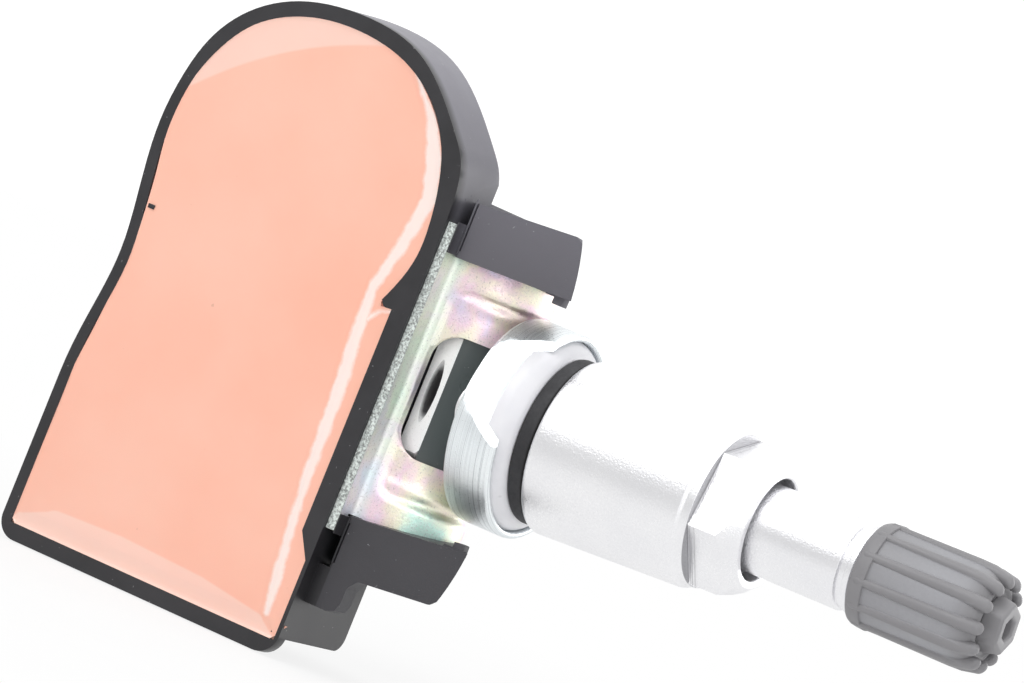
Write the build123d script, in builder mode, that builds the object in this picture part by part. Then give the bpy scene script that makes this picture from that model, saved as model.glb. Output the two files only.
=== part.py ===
# Tyre pressure sensor with a swivelling metal valve, drawn in millimetres.
# X runs outwards along the valve, Z along the housing, Y towards its back.
# The origin is on the valve's centre line, where the rubber seal ends.
from build123d import *
from math import cos, radians, sin, sqrt, tan
import os

os.makedirs("parts", exist_ok=True)

# Clearances
RUN_GAP = 0.06  # running fit of turning and sliding pieces
SLIP = 0.1  # easy fit between the slider and the arch
SEAT = 0.02  # pieces that are pushed together

# Housing, seen from the front
FACE_Y = -9.5
LEFT_X = -44.9
WALL_X = -14.6
BOTTOM_Z = -26.5
WAIST_IN = 1.1
HEAD_X = -30.1
HEAD_Z = 13.0
HEAD_R = 15.45
HEAD_FLARE = 1.3
HEAD_WALL = 1.4
SIDE_WALL = 1.1
RIM_H = 1.4
RIM_LIP = 1.8
MOUTH_D = 1.0
CORNER_R = 2.0
HEAD_BACK_Y = -2.8
BASE_BACK_Y = 2.7
RAMP_LOW = -2.0  # the back slopes from here up to the head
RAMP_HIGH = 12.0
BACK_ROUND = 1.4
HEAD_FLOOR_Y = -4.3
BASE_FLOOR_Y = 0.9
CAVITY_LOW = -23.2  # lower end of the cavity behind the rim
POTTING_Y = -9.2

# The head isn't quite round: degrees from +X, and what is added to its radius
HEAD_SHAPE = (
    (180, -0.5),
    (163, -0.25),
    (146, 0.4),
    (132, 0.6),
    (118, 0.4),
    (88, -0.2),
    (62, 0.0),
    (33, 0.1),
)

# Swivel
PIVOT_X = -13.9
ARCH_R = 6.8
SHEET = 0.8
ARCH_HALF = 11.4
FLANGE_HALF = 14.25
FLANGE_Y = 9.1
SLOT_TOP = 5.35
SLOT_LOW = -6.05
SLOT_X = -12.95
SLOT_R = 2.4
ARM_IN = 11.6
ARM_OUT = 17.1
ARM_TIP_X = -1.6
ARM_Y = 7.7
ARM_SLOPE = 30.0
GROOVE_W = 0.9
GROOVE_MOUTH = 1.1
GROOVE_HALF = 17.4
BLOCK_Y = 9.3
BLOCK_L = 15.0

# Valve
STEM_R = 4.0
THREAD_R = 4.2
STEM_END = 38.6
HEAD_BACK = -13.1
HEAD_FRONT = -11.0
HEAD_DISC_R = 7.5
HEAD_FLAT = 5.1
RING_R = 9.48
RING_BACK = -7.08
RING_FRONT = -2.35
RECESS_R = RING_R - 0.6
RECESS_D = 1.55
FACET_TURN = 22.0
FACET_IN = 2.03  # how far the flat lies inside the ring's front edge
FACET_RISE = 0.37
SEAL_R = 7.62
SEAL_L = 1.6
SEAL_NECK_R = 5.6
SEAL_NECK_L = 2.4
NUT_END = 20.3
NUT_AF = 12.0
CAP_START = 30.1
CAP_R = 4.75
CAP_END = 43.3
CAP_BORE = 39.7
CAP_VALLEY_R = 4.38
RIBS = 12
RIB_W = 1.15

# Valve core
CORE_IN = 26.5
CORE_OUT = 37.2
BORE_R = 1.5
CHAMBER_R = 2.35
PIN_R = 0.45


def front(y):
    """A sketch plane seen from the front; minus amounts go to the back."""
    return Plane.XZ.offset(-y)


def around_head(angle, radius):
    """A point at an angle and distance from the middle of the head."""
    turn = radians(angle)
    return (HEAD_X + radius * cos(turn), HEAD_Z + radius * sin(turn))


def rim_curve(side, head):
    """Waist and head, moved in by the walls' widths at the side and head."""
    left = LEFT_X + side
    points = [(left, -11), (left + WAIST_IN, 1.0)]
    for angle, extra in HEAD_SHAPE:
        wall = side if angle > 160 else head
        points.append(around_head(angle, HEAD_R + extra - wall))
    points.append(around_head(0, HEAD_R - head))
    return points


def outline(grow):
    """The housing's outline, with its head made larger by an amount."""
    points = rim_curve(0, -grow)
    with BuildLine() as line:
        Line((WALL_X + 0.6, BOTTOM_Z), (LEFT_X + CORNER_R, BOTTOM_Z))
        ThreePointArc(
            (LEFT_X + CORNER_R, BOTTOM_Z),
            (LEFT_X + 0.29 * CORNER_R, BOTTOM_Z + 0.29 * CORNER_R),
            (LEFT_X, BOTTOM_Z + CORNER_R),
        )
        Line((LEFT_X, BOTTOM_Z + CORNER_R), points[0])
        Spline(*points, tangents=((0, 1), (0, -1)))
        Line(points[-1], (WALL_X + 0.6, BOTTOM_Z))
    return line.line


def cavity_outline(low):
    """The inside of the rim, with its tooth and steps on the valve side."""
    points = rim_curve(SIDE_WALL, HEAD_WALL)
    left = points[0][0]
    tooth = around_head(-30, HEAD_R - HEAD_WALL + 0.35)
    with BuildLine() as line:
        Line((WALL_X - 0.4, low), (left, low))
        Line((left, low), points[0])
        Spline(*points, tooth, tangents=((0, 1), (-0.45, -0.9)))
        Polyline(
            tooth,
            (WALL_X - 1.8, 4.2),
            (WALL_X - 1.8, -15.3),
            (WALL_X - 0.4, -17.6),
            (WALL_X - 0.4, low),
        )
    return line.line


def box_between(x, y, z, mode=Mode.ADD):
    """A box from pairs of limits along X, Y and Z."""
    with Locations((sum(x) / 2, sum(y) / 2, sum(z) / 2)):
        return Box(x[1] - x[0], y[1] - y[0], z[1] - z[0], mode=mode)


def turned(points):
    """A closed profile of (x, radius) points for turning about X."""
    with BuildLine() as line:
        Polyline(*points, close=True)
    return line.line


SIDES = (1, -1)
POSTS = ((-41.0, -21.5), (-19.0, -21.5), (-41.0, -3.2), (-19.0, -3.2))
POST_R = 1.1
BOARD_BACK = -2.6
BOARD_T = 1.0
HEAD_CAVITY_Z = -1.0

# Each arm from the front: its width at the root, and its slightly bent tip
ARMS = (
    (ARM_IN, ARM_OUT - 0.45, ((ARM_TIP_X, ARM_IN + 0.15), (-2.0, 14.4), (-2.75, ARM_OUT))),
    (-ARM_IN - 0.95, -ARM_OUT - 0.7, ((-1.7, -ARM_IN), (-2.1, -14.2), (-2.85, -ARM_OUT + 0.2))),
)
ARM_ROOT = WALL_X + 2.1

# Housing
with BuildPart() as housing:
    with BuildSketch(front(FACE_Y)):
        make_face(outline(0))
    with BuildSketch(front(FACE_Y + 14)):
        make_face(outline(HEAD_FLARE))
    loft(ruled=True)
    box_between((WALL_X, 0), (-20, 20), (2 * BOTTOM_Z, 50), mode=Mode.SUBTRACT)
    corners = housing.edges().filter_by(Axis.Y).group_by(Axis.Z)[0]
    fillet(corners, CORNER_R)
    # The rim overhangs at the bottom.
    box_between(
        (2 * LEFT_X, 0),
        (FACE_Y + RIM_H, 10),
        (BOTTOM_Z - 5, BOTTOM_Z + RIM_LIP),
        mode=Mode.SUBTRACT,
    )
    # The back is lower behind the head.
    with BuildSketch(Plane.YZ.offset(2 * LEFT_X)):
        with BuildLine():
            Polyline(
                (BASE_BACK_Y, 2 * BOTTOM_Z),
                (BASE_BACK_Y, RAMP_LOW),
                (HEAD_BACK_Y, RAMP_HIGH),
                (HEAD_BACK_Y, 45),
                (30, 45),
                (30, 2 * BOTTOM_Z),
                close=True,
            )
        make_face()
    extrude(amount=-2 * LEFT_X, mode=Mode.SUBTRACT)
    low_edges = housing.edges().filter_by(Axis.X).group_by(Axis.Y)[-1]
    fillet(low_edges.group_by(Axis.Z)[0], BACK_ROUND)
    # Raised block that carries the back of the bracket
    with BuildSketch(Plane.XY.offset(-ARM_OUT)):
        with BuildLine():
            Polyline(
                (WALL_X - BLOCK_L, 0),
                (WALL_X - BLOCK_L, BASE_BACK_Y - 0.6),
                (WALL_X - BLOCK_L + 8, BLOCK_Y),
                (WALL_X, BLOCK_Y),
                (WALL_X, -ARM_Y + 0.7),
                (WALL_X - 1.4, -ARM_Y + 0.7),
                close=True,
            )
        make_face()
    extrude(amount=2 * ARM_OUT)
    block_edges = housing.edges().filter_by(Axis.X).group_by(Axis.Y)[-1]
    fillet(block_edges, 1.5)
    # Arms, with a straight root and a part that slants back
    slant = (-tan(radians(ARM_SLOPE)), 1, 0)
    for inner, outer, tip in ARMS:
        side = 1 if inner > 0 else -1
        box_between(
            (WALL_X - 0.8, ARM_ROOT + 0.1),
            (-ARM_Y, ARM_Y),
            sorted((inner, outer)),
        )
        with BuildSketch(front(-ARM_Y)):
            with BuildLine():
                ThreePointArc(*tip)
                Polyline(tip[2], (ARM_ROOT, outer), (ARM_ROOT, inner), tip[0])
            make_face()
        extrude(amount=2 * ARM_Y / cos(radians(ARM_SLOPE)), dir=slant)
        # Small hook at the tip that keeps the bracket's end in
        with BuildSketch(front(-ARM_Y + 0.6)):
            with BuildLine():
                Polyline(
                    (-4.6, side * (ARM_IN + 0.5)),
                    (-4.1, side * (ARM_IN - 0.8)),
                    (-3.5, side * (ARM_IN - 1.2)),
                    (-2.7, side * (ARM_IN - 1.2)),
                    (-2.4, side * (ARM_IN + 0.5)),
                    close=True,
                )
            make_face()
        extrude(amount=-2.0)
    # Foot below the lower arm
    with BuildSketch(front(-ARM_Y)):
        with BuildLine():
            Polyline(
                (WALL_X - 0.5, -ARM_OUT),
                (-9.9, -ARM_OUT),
                (-10.6, -ARM_OUT - 0.7),
                (-11.2, -ARM_OUT - 1.4),
                (-11.2, -19.9),
                (-11.5, -20.7),
                (-12.3, -21.0),
                (WALL_X - 0.5, -21.0),
                close=True,
            )
        make_face()
    extrude(amount=-4.5)
    # Groove between the wall and the arms, right through where the bracket sits
    groove = (WALL_X, WALL_X + GROOVE_W)
    box_between(groove, (-20, 20), (-FLANGE_HALF - 0.1, FLANGE_HALF + 0.1), Mode.SUBTRACT)
    box_between(
        (WALL_X, WALL_X + GROOVE_MOUTH),
        (-20, -5.6),
        (-GROOVE_HALF, GROOVE_HALF),
        Mode.SUBTRACT,
    )
    # Pocket that lets the valve's head tilt
    box_between((WALL_X - 0.7, 0), (-6.2, 6.2), (-8.4, 8.4), Mode.SUBTRACT)
    # Cavity for the electronics
    with BuildSketch(front(FACE_Y)):
        make_face(cavity_outline(BOTTOM_Z + 1.5))
    extrude(amount=-MOUTH_D, mode=Mode.SUBTRACT)
    with BuildSketch(front(FACE_Y + MOUTH_D)):
        make_face(cavity_outline(CAVITY_LOW))
    extrude(amount=-(HEAD_FLOOR_Y - FACE_Y - MOUTH_D), mode=Mode.SUBTRACT)
    with BuildSketch(front(HEAD_FLOOR_Y)):
        make_face(cavity_outline(CAVITY_LOW))
        with Locations((HEAD_X, HEAD_CAVITY_Z + 25)):
            Rectangle(60, 50, mode=Mode.SUBTRACT)
    extrude(amount=-(BASE_FLOOR_Y - HEAD_FLOOR_Y), mode=Mode.SUBTRACT)
    # Posts under the circuit board
    for x, z in POSTS:
        with BuildSketch(front(BOARD_BACK)):
            with Locations((x, z)):
                Circle(POST_R)
        extrude(amount=-(BASE_FLOOR_Y - BOARD_BACK + 0.2))
    # Small nub on the left side of the rim
    box_between((LEFT_X + 1.6, LEFT_X + 2.6), (FACE_Y + 0.1, FACE_Y + 1.5), (5.0, 6.4))
housing.part.label = "housing"
export_step(housing.part, "parts/housing.step")

# Electronics
BATTERY_R = 12.0
BATTERY_T = 3.2
BATTERY_X = -30.1
BATTERY_Z = 13.0
BATTERY_FRONT = HEAD_FLOOR_Y - BATTERY_T
BOARD_FRONT = BOARD_BACK - BOARD_T

with BuildPart() as battery:
    with BuildSketch(front(BATTERY_FRONT)):
        with Locations((BATTERY_X, BATTERY_Z)):
            Circle(BATTERY_R - 1.2)
    extrude(amount=-BATTERY_T)
    with BuildSketch(front(BATTERY_FRONT + 0.4)):
        with Locations((BATTERY_X, BATTERY_Z)):
            Circle(BATTERY_R)
    extrude(amount=-(BATTERY_T - 0.4))
battery.part.label = "battery"
export_step(battery.part, "parts/battery.step")

with BuildPart() as circuit_board:
    box_between((LEFT_X + 2.4, WALL_X - 2.8), (BOARD_FRONT, BOARD_BACK), (-22.9, -1.8))
    fillet(circuit_board.edges().filter_by(Axis.Y), 1.0)
circuit_board.part.label = "circuit_board"
export_step(circuit_board.part, "parts/circuit_board.step")

TAB_T = 0.3
with BuildPart() as battery_front_tab:
    box_between((-27.0, -23.5), (BATTERY_FRONT - TAB_T, BATTERY_FRONT), (-3.0, 10.0))
    box_between((-27.0, -23.5), (BATTERY_FRONT - TAB_T, BOARD_FRONT), (-3.0, -3.0 + TAB_T))
battery_front_tab.part.label = "battery_front_tab"
export_step(battery_front_tab.part, "parts/battery_front_tab.step")

with BuildPart() as battery_side_tab:
    tab_z = BATTERY_Z - sqrt(BATTERY_R**2 - 3.5**2)
    box_between((-37.5, -34.5), (-6.8, -4.6), (tab_z - TAB_T - 0.5, tab_z + 0.2))
    box_between((-37.5, -34.5), (-4.9, -4.6), (-4.0, tab_z))
    box_between((-37.5, -34.5), (-4.9, BOARD_FRONT), (-4.0, -4.0 + TAB_T))
    add(battery.part, mode=Mode.SUBTRACT)
battery_side_tab.part.label = "battery_side_tab"
export_step(battery_side_tab.part, "parts/battery_side_tab.step")


def chip(x, z, width, height, thick):
    """A component that stands on the front of the board."""
    box_between(
        (x - width / 2, x + width / 2),
        (BOARD_FRONT - thick, BOARD_FRONT),
        (z - height / 2, z + height / 2),
    )


with BuildPart() as sensor_chip:
    chip(-22.5, -13.0, 7.0, 7.0, 2.2)
    with BuildSketch(front(BOARD_FRONT - 2.2)):
        with Locations((-22.5, -13.0)):
            Circle(1.2)
    extrude(amount=1.2)
sensor_chip.part.label = "pressure_sensor_chip"
export_step(sensor_chip.part, "parts/pressure_sensor_chip.step")

with BuildPart() as radio_chip:
    chip(-32.0, -11.5, 5.0, 5.0, 1.0)
radio_chip.part.label = "radio_chip"
export_step(radio_chip.part, "parts/radio_chip.step")

with BuildPart() as timing_crystal:
    chip(-31.5, -18.5, 5.0, 3.2, 1.1)
timing_crystal.part.label = "timing_crystal"
export_step(timing_crystal.part, "parts/timing_crystal.step")

with BuildPart() as capacitors:
    for x, z in ((-26.8, -19.5), (-26.8, -21.5), (-36.2, -8.0), (-27.0, -7.0)):
        chip(x, z, 2.0, 1.2, 0.9)
capacitors.part.label = "capacitors"
export_step(capacitors.part, "parts/capacitors.step")

with BuildPart() as wake_coil:
    chip(LEFT_X + 5.4, -14.5, 3.6, 11.5, 3.0)
    chip(LEFT_X + 5.4, -14.5, 3.0, 7.5, 3.3)
wake_coil.part.label = "wake_coil"
export_step(wake_coil.part, "parts/wake_coil.step")

ANTENNA_WIRE = 0.5
with BuildPart() as antenna:
    for z in (-22.6, -6.0):
        box_between((-19.2, -18.7), (BOARD_FRONT - 3.4, BOARD_FRONT), (z, z + ANTENNA_WIRE))
    box_between(
        (-19.2, -18.7),
        (BOARD_FRONT - 3.4, BOARD_FRONT - 3.4 + ANTENNA_WIRE),
        (-22.6, -6.0 + ANTENNA_WIRE),
    )
    add(sensor_chip.part, mode=Mode.SUBTRACT)
antenna.part.label = "antenna"

INSIDE = (
    battery,
    circuit_board,
    battery_front_tab,
    battery_side_tab,
    sensor_chip,
    radio_chip,
    timing_crystal,
    capacitors,
    wake_coil,
    antenna,
)

with BuildPart() as potting:
    with BuildSketch(front(POTTING_Y)):
        make_face(cavity_outline(BOTTOM_Z + 1.5))
    extrude(amount=-(FACE_Y + MOUTH_D - POTTING_Y))
    with BuildSketch(front(FACE_Y + MOUTH_D)):
        make_face(cavity_outline(CAVITY_LOW))
    extrude(amount=-(BASE_FLOOR_Y - FACE_Y - MOUTH_D))
    add(housing.part, mode=Mode.SUBTRACT)
    box_between((2 * LEFT_X, 0), (HEAD_FLOOR_Y, 20), (HEAD_CAVITY_Z, 40), mode=Mode.SUBTRACT)
    for piece in INSIDE:
        add(piece.part, mode=Mode.SUBTRACT)
potting.part.label = "potting_compound"
export_step(potting.part, "parts/potting_compound.step")
export_step(antenna.part, "parts/antenna.step")

# Bracket: one bent sheet with two flanges and a slotted arch
with BuildPart() as bracket:
    with BuildSketch(Plane.XY.offset(-ARCH_HALF)):
        with Locations((PIVOT_X, 0)):
            Circle(ARCH_R)
            Circle(ARCH_R - SHEET, mode=Mode.SUBTRACT)
            with Locations((-10, 0)):
                Rectangle(20, 40, mode=Mode.SUBTRACT)
    extrude(amount=2 * ARCH_HALF)
    for side in SIDES:
        box_between(
            (WALL_X, WALL_X + SHEET),
            sorted((side * (ARCH_R - SHEET), side * FLANGE_Y)),
            (-FLANGE_HALF, FLANGE_HALF),
        )
    flange_ends = bracket.edges().filter_by(Axis.X).group_by(Axis.Y)
    fillet(flange_ends[0] + flange_ends[-1], 1.4)
    # Slot with rounded ends that runs round the arch
    with BuildSketch(front(-15)):
        with Locations((SLOT_X + 10, (SLOT_TOP + SLOT_LOW) / 2)):
            RectangleRounded(20, SLOT_TOP - SLOT_LOW, SLOT_R)
    extrude(amount=-30, mode=Mode.SUBTRACT)
bracket.part.label = "bracket"
export_step(bracket.part, "parts/bracket.step")

# Half-moon slider between the arch and the valve's head
with BuildPart() as slider:
    with BuildSketch(Plane.XY.offset(-8.0)):
        with Locations((PIVOT_X, 0)):
            Circle(ARCH_R - SHEET - SLIP)
            with Locations((HEAD_FRONT - PIVOT_X - 10, 0)):
                Rectangle(20, 40, mode=Mode.SUBTRACT)
    extrude(amount=16.0)
    with BuildSketch(Plane.YZ.offset(HEAD_FRONT - 1)):
        Circle(THREAD_R + SEAT)
    extrude(amount=10, mode=Mode.SUBTRACT)
slider.part.label = "pivot_slider"
export_step(slider.part, "parts/pivot_slider.step")

# Valve stem with its flat head
with BuildPart() as stem:
    with BuildSketch(Plane.XY):
        make_face(
            turned(
                (
                    (HEAD_BACK, 0),
                    (HEAD_BACK, HEAD_DISC_R),
                    (HEAD_FRONT, HEAD_DISC_R),
                    (HEAD_FRONT, THREAD_R),
                    (NUT_END - 1.2, THREAD_R),
                    (NUT_END - 0.8, STEM_R),
                    (CAP_START - 1.5, STEM_R),
                    (CAP_START - 1.3, STEM_R - 0.3),
                    (CAP_START - 0.8, STEM_R - 0.3),
                    (CAP_START - 0.7, STEM_R - 0.1),
                    (CAP_START - 0.2, STEM_R - 0.1),
                    (CAP_START - 0.1, STEM_R - 0.2),
                    (STEM_END - 0.5, STEM_R - 0.2),
                    (STEM_END, STEM_R - 0.6),
                    (STEM_END, 0),
                )
            )
        )
    revolve(axis=Axis.X)
    for side in SIDES:
        box_between(
            (HEAD_BACK - 1, HEAD_FRONT),
            sorted((side * HEAD_FLAT, side * 12)),
            (-12, 12),
            mode=Mode.SUBTRACT,
        )
    # Air passage, chamber for the core and the lens-shaped inlet in the flat
    with BuildSketch(Plane.XY):
        make_face(
            turned(
                (
                    (HEAD_BACK - 1, 0),
                    (HEAD_BACK - 1, BORE_R),
                    (CORE_IN - 2.5, BORE_R),
                    (CORE_IN - 1.5, CHAMBER_R - 0.3),
                    (CORE_IN + 4.2, CHAMBER_R - 0.3),
                    (CORE_IN + 4.7, CHAMBER_R),
                    (CORE_OUT - 3, CHAMBER_R),
                    (CORE_OUT - 3, CHAMBER_R + 0.3),
                    (STEM_END + 1, CHAMBER_R + 0.3),
                    (STEM_END + 1, 0),
                )
            )
        )
    revolve(axis=Axis.X, mode=Mode.SUBTRACT)
    with BuildSketch(front(-HEAD_FLAT - 1)):
        with Locations(((HEAD_BACK + HEAD_FRONT) / 2, 0)):
            SlotOverall(4.8, 1.1, rotation=90)
    extrude(amount=-(HEAD_FLAT + 1), mode=Mode.SUBTRACT)
stem.part.label = "valve_stem"
export_step(stem.part, "parts/valve_stem.step")



def flats(sink):
    """What the two slanting flats of the ring take away, sunk by an amount."""
    lean = radians(FACET_TURN)
    low = RING_R - FACET_IN - sink
    back_x = RING_BACK - 1
    front_x = 0.5
    with BuildPart() as cutter:
        for side in SIDES:
            across = Plane(
                origin=(0, 0, 0),
                x_dir=(1, 0, 0),
                z_dir=(0, -side * sin(lean), -side * cos(lean)),
            )
            with BuildSketch(across):
                with BuildLine():
                    Polyline(
                        (back_x, 2 * RING_R),
                        (back_x, low + FACET_RISE * (RING_FRONT - back_x)),
                        (front_x, low + FACET_RISE * (RING_FRONT - front_x)),
                        (front_x, 2 * RING_R),
                        close=True,
                    )
                make_face()
            extrude(amount=2 * RING_R, both=True)
    return cutter.part


# Turned ring between the arch and the wheel, with a recess for the washer
with BuildPart() as ring:
    with BuildSketch(Plane.XY):
        make_face(
            turned(
                (
                    (RING_BACK, THREAD_R + SEAT),
                    (RING_BACK, RING_R - 0.3),
                    (RING_BACK + 0.3, RING_R),
                    (RING_FRONT - 0.4, RING_R),
                    (RING_FRONT - 0.1, RING_R - 0.1),
                    (RING_FRONT, RING_R - 0.3),
                    (RING_FRONT, RECESS_R),
                    (RING_FRONT - RECESS_D, RECESS_R),
                    (RING_FRONT - RECESS_D, THREAD_R + SEAT),
                )
            )
        )
    revolve(axis=Axis.X)
    add(flats(0), mode=Mode.SUBTRACT)
ring.part.label = "saddle_ring"
export_step(ring.part, "parts/saddle_ring.step")

with BuildPart() as washer:
    with BuildSketch(Plane.XY):
        make_face(
            turned(
                (
                    (RING_FRONT - RECESS_D, THREAD_R + SEAT),
                    (RING_FRONT - RECESS_D, RECESS_R - SEAT),
                    (RING_FRONT - 0.2, RECESS_R - SEAT),
                    (-SEAL_L, SEAL_R + 0.3),
                    (-SEAL_L, THREAD_R + SEAT),
                )
            )
        )
    revolve(axis=Axis.X)
    add(flats(0.05), mode=Mode.SUBTRACT)
washer.part.label = "plastic_washer"
export_step(washer.part, "parts/plastic_washer.step")

with BuildPart() as seal:
    with BuildSketch(Plane.XY):
        make_face(
            turned(
                (
                    (-SEAL_L, THREAD_R + SEAT),
                    (-SEAL_L, SEAL_R),
                    (-0.3, SEAL_R),
                    (0, SEAL_R - 0.3),
                    (0, SEAL_NECK_R),
                    (SEAL_NECK_L - 0.4, SEAL_NECK_R),
                    (SEAL_NECK_L, SEAL_NECK_R - 0.4),
                    (SEAL_NECK_L, THREAD_R + SEAT),
                )
            )
        )
    revolve(axis=Axis.X)
seal.part.label = "rubber_seal"
export_step(seal.part, "parts/rubber_seal.step")

# Sleeve nut with a hexagon at its outer end
NUT_BORE = THREAD_R + RUN_GAP
HEX_PHASE = -17.0
with BuildPart() as nut:
    hex_r = NUT_AF / 2 / cos(radians(30))
    with BuildSketch(Plane.YZ.offset(14.9)):
        RegularPolygon(hex_r, 6, rotation=180 - HEX_PHASE)
    extrude(amount=NUT_END - 14.9)
    with BuildSketch(Plane.XY):
        make_face(
            turned(
                (
                    (0, 0),
                    (14.9, 0),
                    (14.9, 5.9),
                    (15.85, hex_r + 0.1),
                    (18.3, hex_r + 0.1),
                    (NUT_END, 5.46),
                    (NUT_END, 0),
                )
            )
        )
    revolve(axis=Axis.X, mode=Mode.INTERSECT)
    with BuildSketch(Plane.XY):
        make_face(
            turned(
                (
                    (0, 0),
                    (0, 7.8),
                    (0.25, 8.0),
                    (12.7, 7.4),
                    (13.0, 7.1),
                    (13.5, 7.1),
                    (13.8, 7.6),
                    (14.7, 7.6),
                    (14.9, 7.4),
                    (14.9, 0),
                )
            )
        )
    revolve(axis=Axis.X)
    with BuildSketch(Plane.XY):
        make_face(
            turned(
                (
                    (-1, 0),
                    (-1, SEAL_NECK_R + RUN_GAP),
                    (SEAL_NECK_L + 0.1, SEAL_NECK_R + RUN_GAP),
                    (SEAL_NECK_L + 1.2, NUT_BORE),
                    (NUT_END - 0.5, NUT_BORE),
                    (NUT_END, NUT_BORE + 0.55),
                    (NUT_END + 1, NUT_BORE + 0.55),
                    (NUT_END + 1, 0),
                )
            )
        )
    revolve(axis=Axis.X, mode=Mode.SUBTRACT)
nut.part.label = "sleeve_nut"
export_step(nut.part, "parts/sleeve_nut.step")

# Dust cap with ribs and a small boss in its recessed end
CAP_FLOOR = CAP_END - 1.8
CAP_INSIDE = STEM_R - 0.2 + RUN_GAP
with BuildPart() as cap:
    with BuildSketch(Plane.XY):
        make_face(
            turned(
                (
                    (CAP_START, CAP_INSIDE),
                    (CAP_START, CAP_R - 0.45),
                    (CAP_START + 0.6, CAP_R - 0.15),
                    (CAP_START + 1.0, CAP_R - 0.1),
                    (CAP_START + 1.0, CAP_VALLEY_R),
                    (CAP_END - 2.2, CAP_VALLEY_R - 0.05),
                    (CAP_END - 1.2, CAP_VALLEY_R - 0.7),
                    (CAP_END - 1.0, CAP_VALLEY_R - 1.2),
                    (CAP_FLOOR, CAP_VALLEY_R - 1.4),
                    (CAP_FLOOR, 0),
                    (CAP_BORE, 0),
                    (CAP_BORE, CAP_INSIDE),
                )
            )
        )
    revolve(axis=Axis.X)
    with BuildSketch(Plane.YZ.offset(CAP_FLOOR)):
        RegularPolygon(2.3, 6)
    extrude(amount=CAP_END - 0.1 - CAP_FLOOR, taper=12)
    with BuildSketch(Plane.YZ.offset(CAP_FLOOR + 0.6)):
        Circle(1.1)
    extrude(amount=3, mode=Mode.SUBTRACT)
    rib_start = CAP_START + 0.3
    rib_end = CAP_END - 0.5
    rib_sides = (-RIB_W / 2, RIB_W / 2)
    for i in range(RIBS):
        turn = 360 / RIBS * i + 11.6
        with Locations(Location((0, 0, 0), (1, 0, 0), turn)):
            box_between((rib_start, rib_end), (-CAP_R, -CAP_INSIDE - 0.1), rib_sides)
            box_between((CAP_BORE, rib_end), (-CAP_R, 1.0 - CAP_VALLEY_R), rib_sides)
    with BuildSketch(Plane.XY):
        make_face(
            turned(
                (
                    (CAP_START - 1, 0),
                    (CAP_START - 1, CAP_R - 0.45),
                    (CAP_START, CAP_R - 0.45),
                    (CAP_START + 1.0, CAP_R),
                    (CAP_END - 2.4, CAP_R),
                    (CAP_END - 1.0, CAP_R - 0.3),
                    (CAP_END - 0.5, CAP_R - 0.9),
                    (CAP_END + 1, CAP_R - 0.9),
                    (CAP_END + 1, 0),
                )
            )
        )
    revolve(axis=Axis.X, mode=Mode.INTERSECT)
cap.part.label = "dust_cap"
export_step(cap.part, "parts/dust_cap.step")

with BuildPart() as cap_seal:
    with BuildSketch(Plane.XY):
        make_face(
            turned(
                (
                    (STEM_END + 0.05, 1.6),
                    (STEM_END + 0.05, STEM_R - 0.2),
                    (CAP_BORE, STEM_R - 0.2),
                    (CAP_BORE, 1.6),
                )
            )
        )
    revolve(axis=Axis.X)
cap_seal.part.label = "cap_seal"
export_step(cap_seal.part, "parts/cap_seal.step")

# Valve core: body, seal, sprung pin and its plug
CORE_BORE = 1.35
LEDGE = CORE_IN + 2.1
COLLAR = LEDGE + 5.0
PIN_END = CORE_OUT + 0.6
with BuildPart() as core_body:
    with BuildSketch(Plane.XY):
        make_face(
            turned(
                (
                    (CORE_IN + 0.6, PIN_R + 0.35),
                    (CORE_IN + 0.6, 1.75),
                    (CORE_OUT - 3, 1.75),
                    (CORE_OUT - 3, CHAMBER_R + 0.28),
                    (CORE_OUT, CHAMBER_R + 0.28),
                    (CORE_OUT, CORE_BORE),
                    (LEDGE, CORE_BORE),
                    (LEDGE, PIN_R + 0.35),
                )
            )
        )
    revolve(axis=Axis.X)
    for side in SIDES:
        box_between(
            (CORE_OUT - 1.4, CORE_OUT + 1),
            sorted((side * 1.9, side * 4)),
            (-4, 4),
            mode=Mode.SUBTRACT,
        )
core_body.part.label = "core_body"
export_step(core_body.part, "parts/core_body.step")

with BuildPart() as core_seal:
    with BuildSketch(Plane.XY):
        make_face(
            turned(
                (
                    (CORE_IN + 4.7, 1.75 + SEAT),
                    (CORE_IN + 4.7, CHAMBER_R - SEAT),
                    (CORE_IN + 6.4, CHAMBER_R - SEAT),
                    (CORE_IN + 6.4, 1.75 + SEAT),
                )
            )
        )
    revolve(axis=Axis.X)
core_seal.part.label = "core_seal"
export_step(core_seal.part, "parts/core_seal.step")

with BuildPart() as core_pin:
    with BuildSketch(Plane.XY):
        make_face(
            turned(
                (
                    (CORE_IN - 1.0, 0),
                    (CORE_IN - 1.0, 1.3),
                    (CORE_IN - 0.2, 1.3),
                    (CORE_IN - 0.2, PIN_R),
                    (COLLAR, PIN_R),
                    (COLLAR, 1.1),
                    (COLLAR + 0.5, 1.1),
                    (COLLAR + 0.5, PIN_R),
                    (PIN_END - 0.2, PIN_R),
                    (PIN_END, PIN_R - 0.2),
                    (PIN_END, 0),
                )
            )
        )
    revolve(axis=Axis.X)
core_pin.part.label = "core_pin"
export_step(core_pin.part, "parts/core_pin.step")

with BuildPart() as core_plug:
    with BuildSketch(Plane.XY):
        make_face(
            turned(
                (
                    (CORE_IN - 0.2, PIN_R + 0.01),
                    (CORE_IN - 0.2, 1.5),
                    (CORE_IN + 0.58, 1.3),
                    (CORE_IN + 0.58, PIN_R + 0.01),
                )
            )
        )
    revolve(axis=Axis.X)
core_plug.part.label = "core_plug"
export_step(core_plug.part, "parts/core_plug.step")

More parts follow.
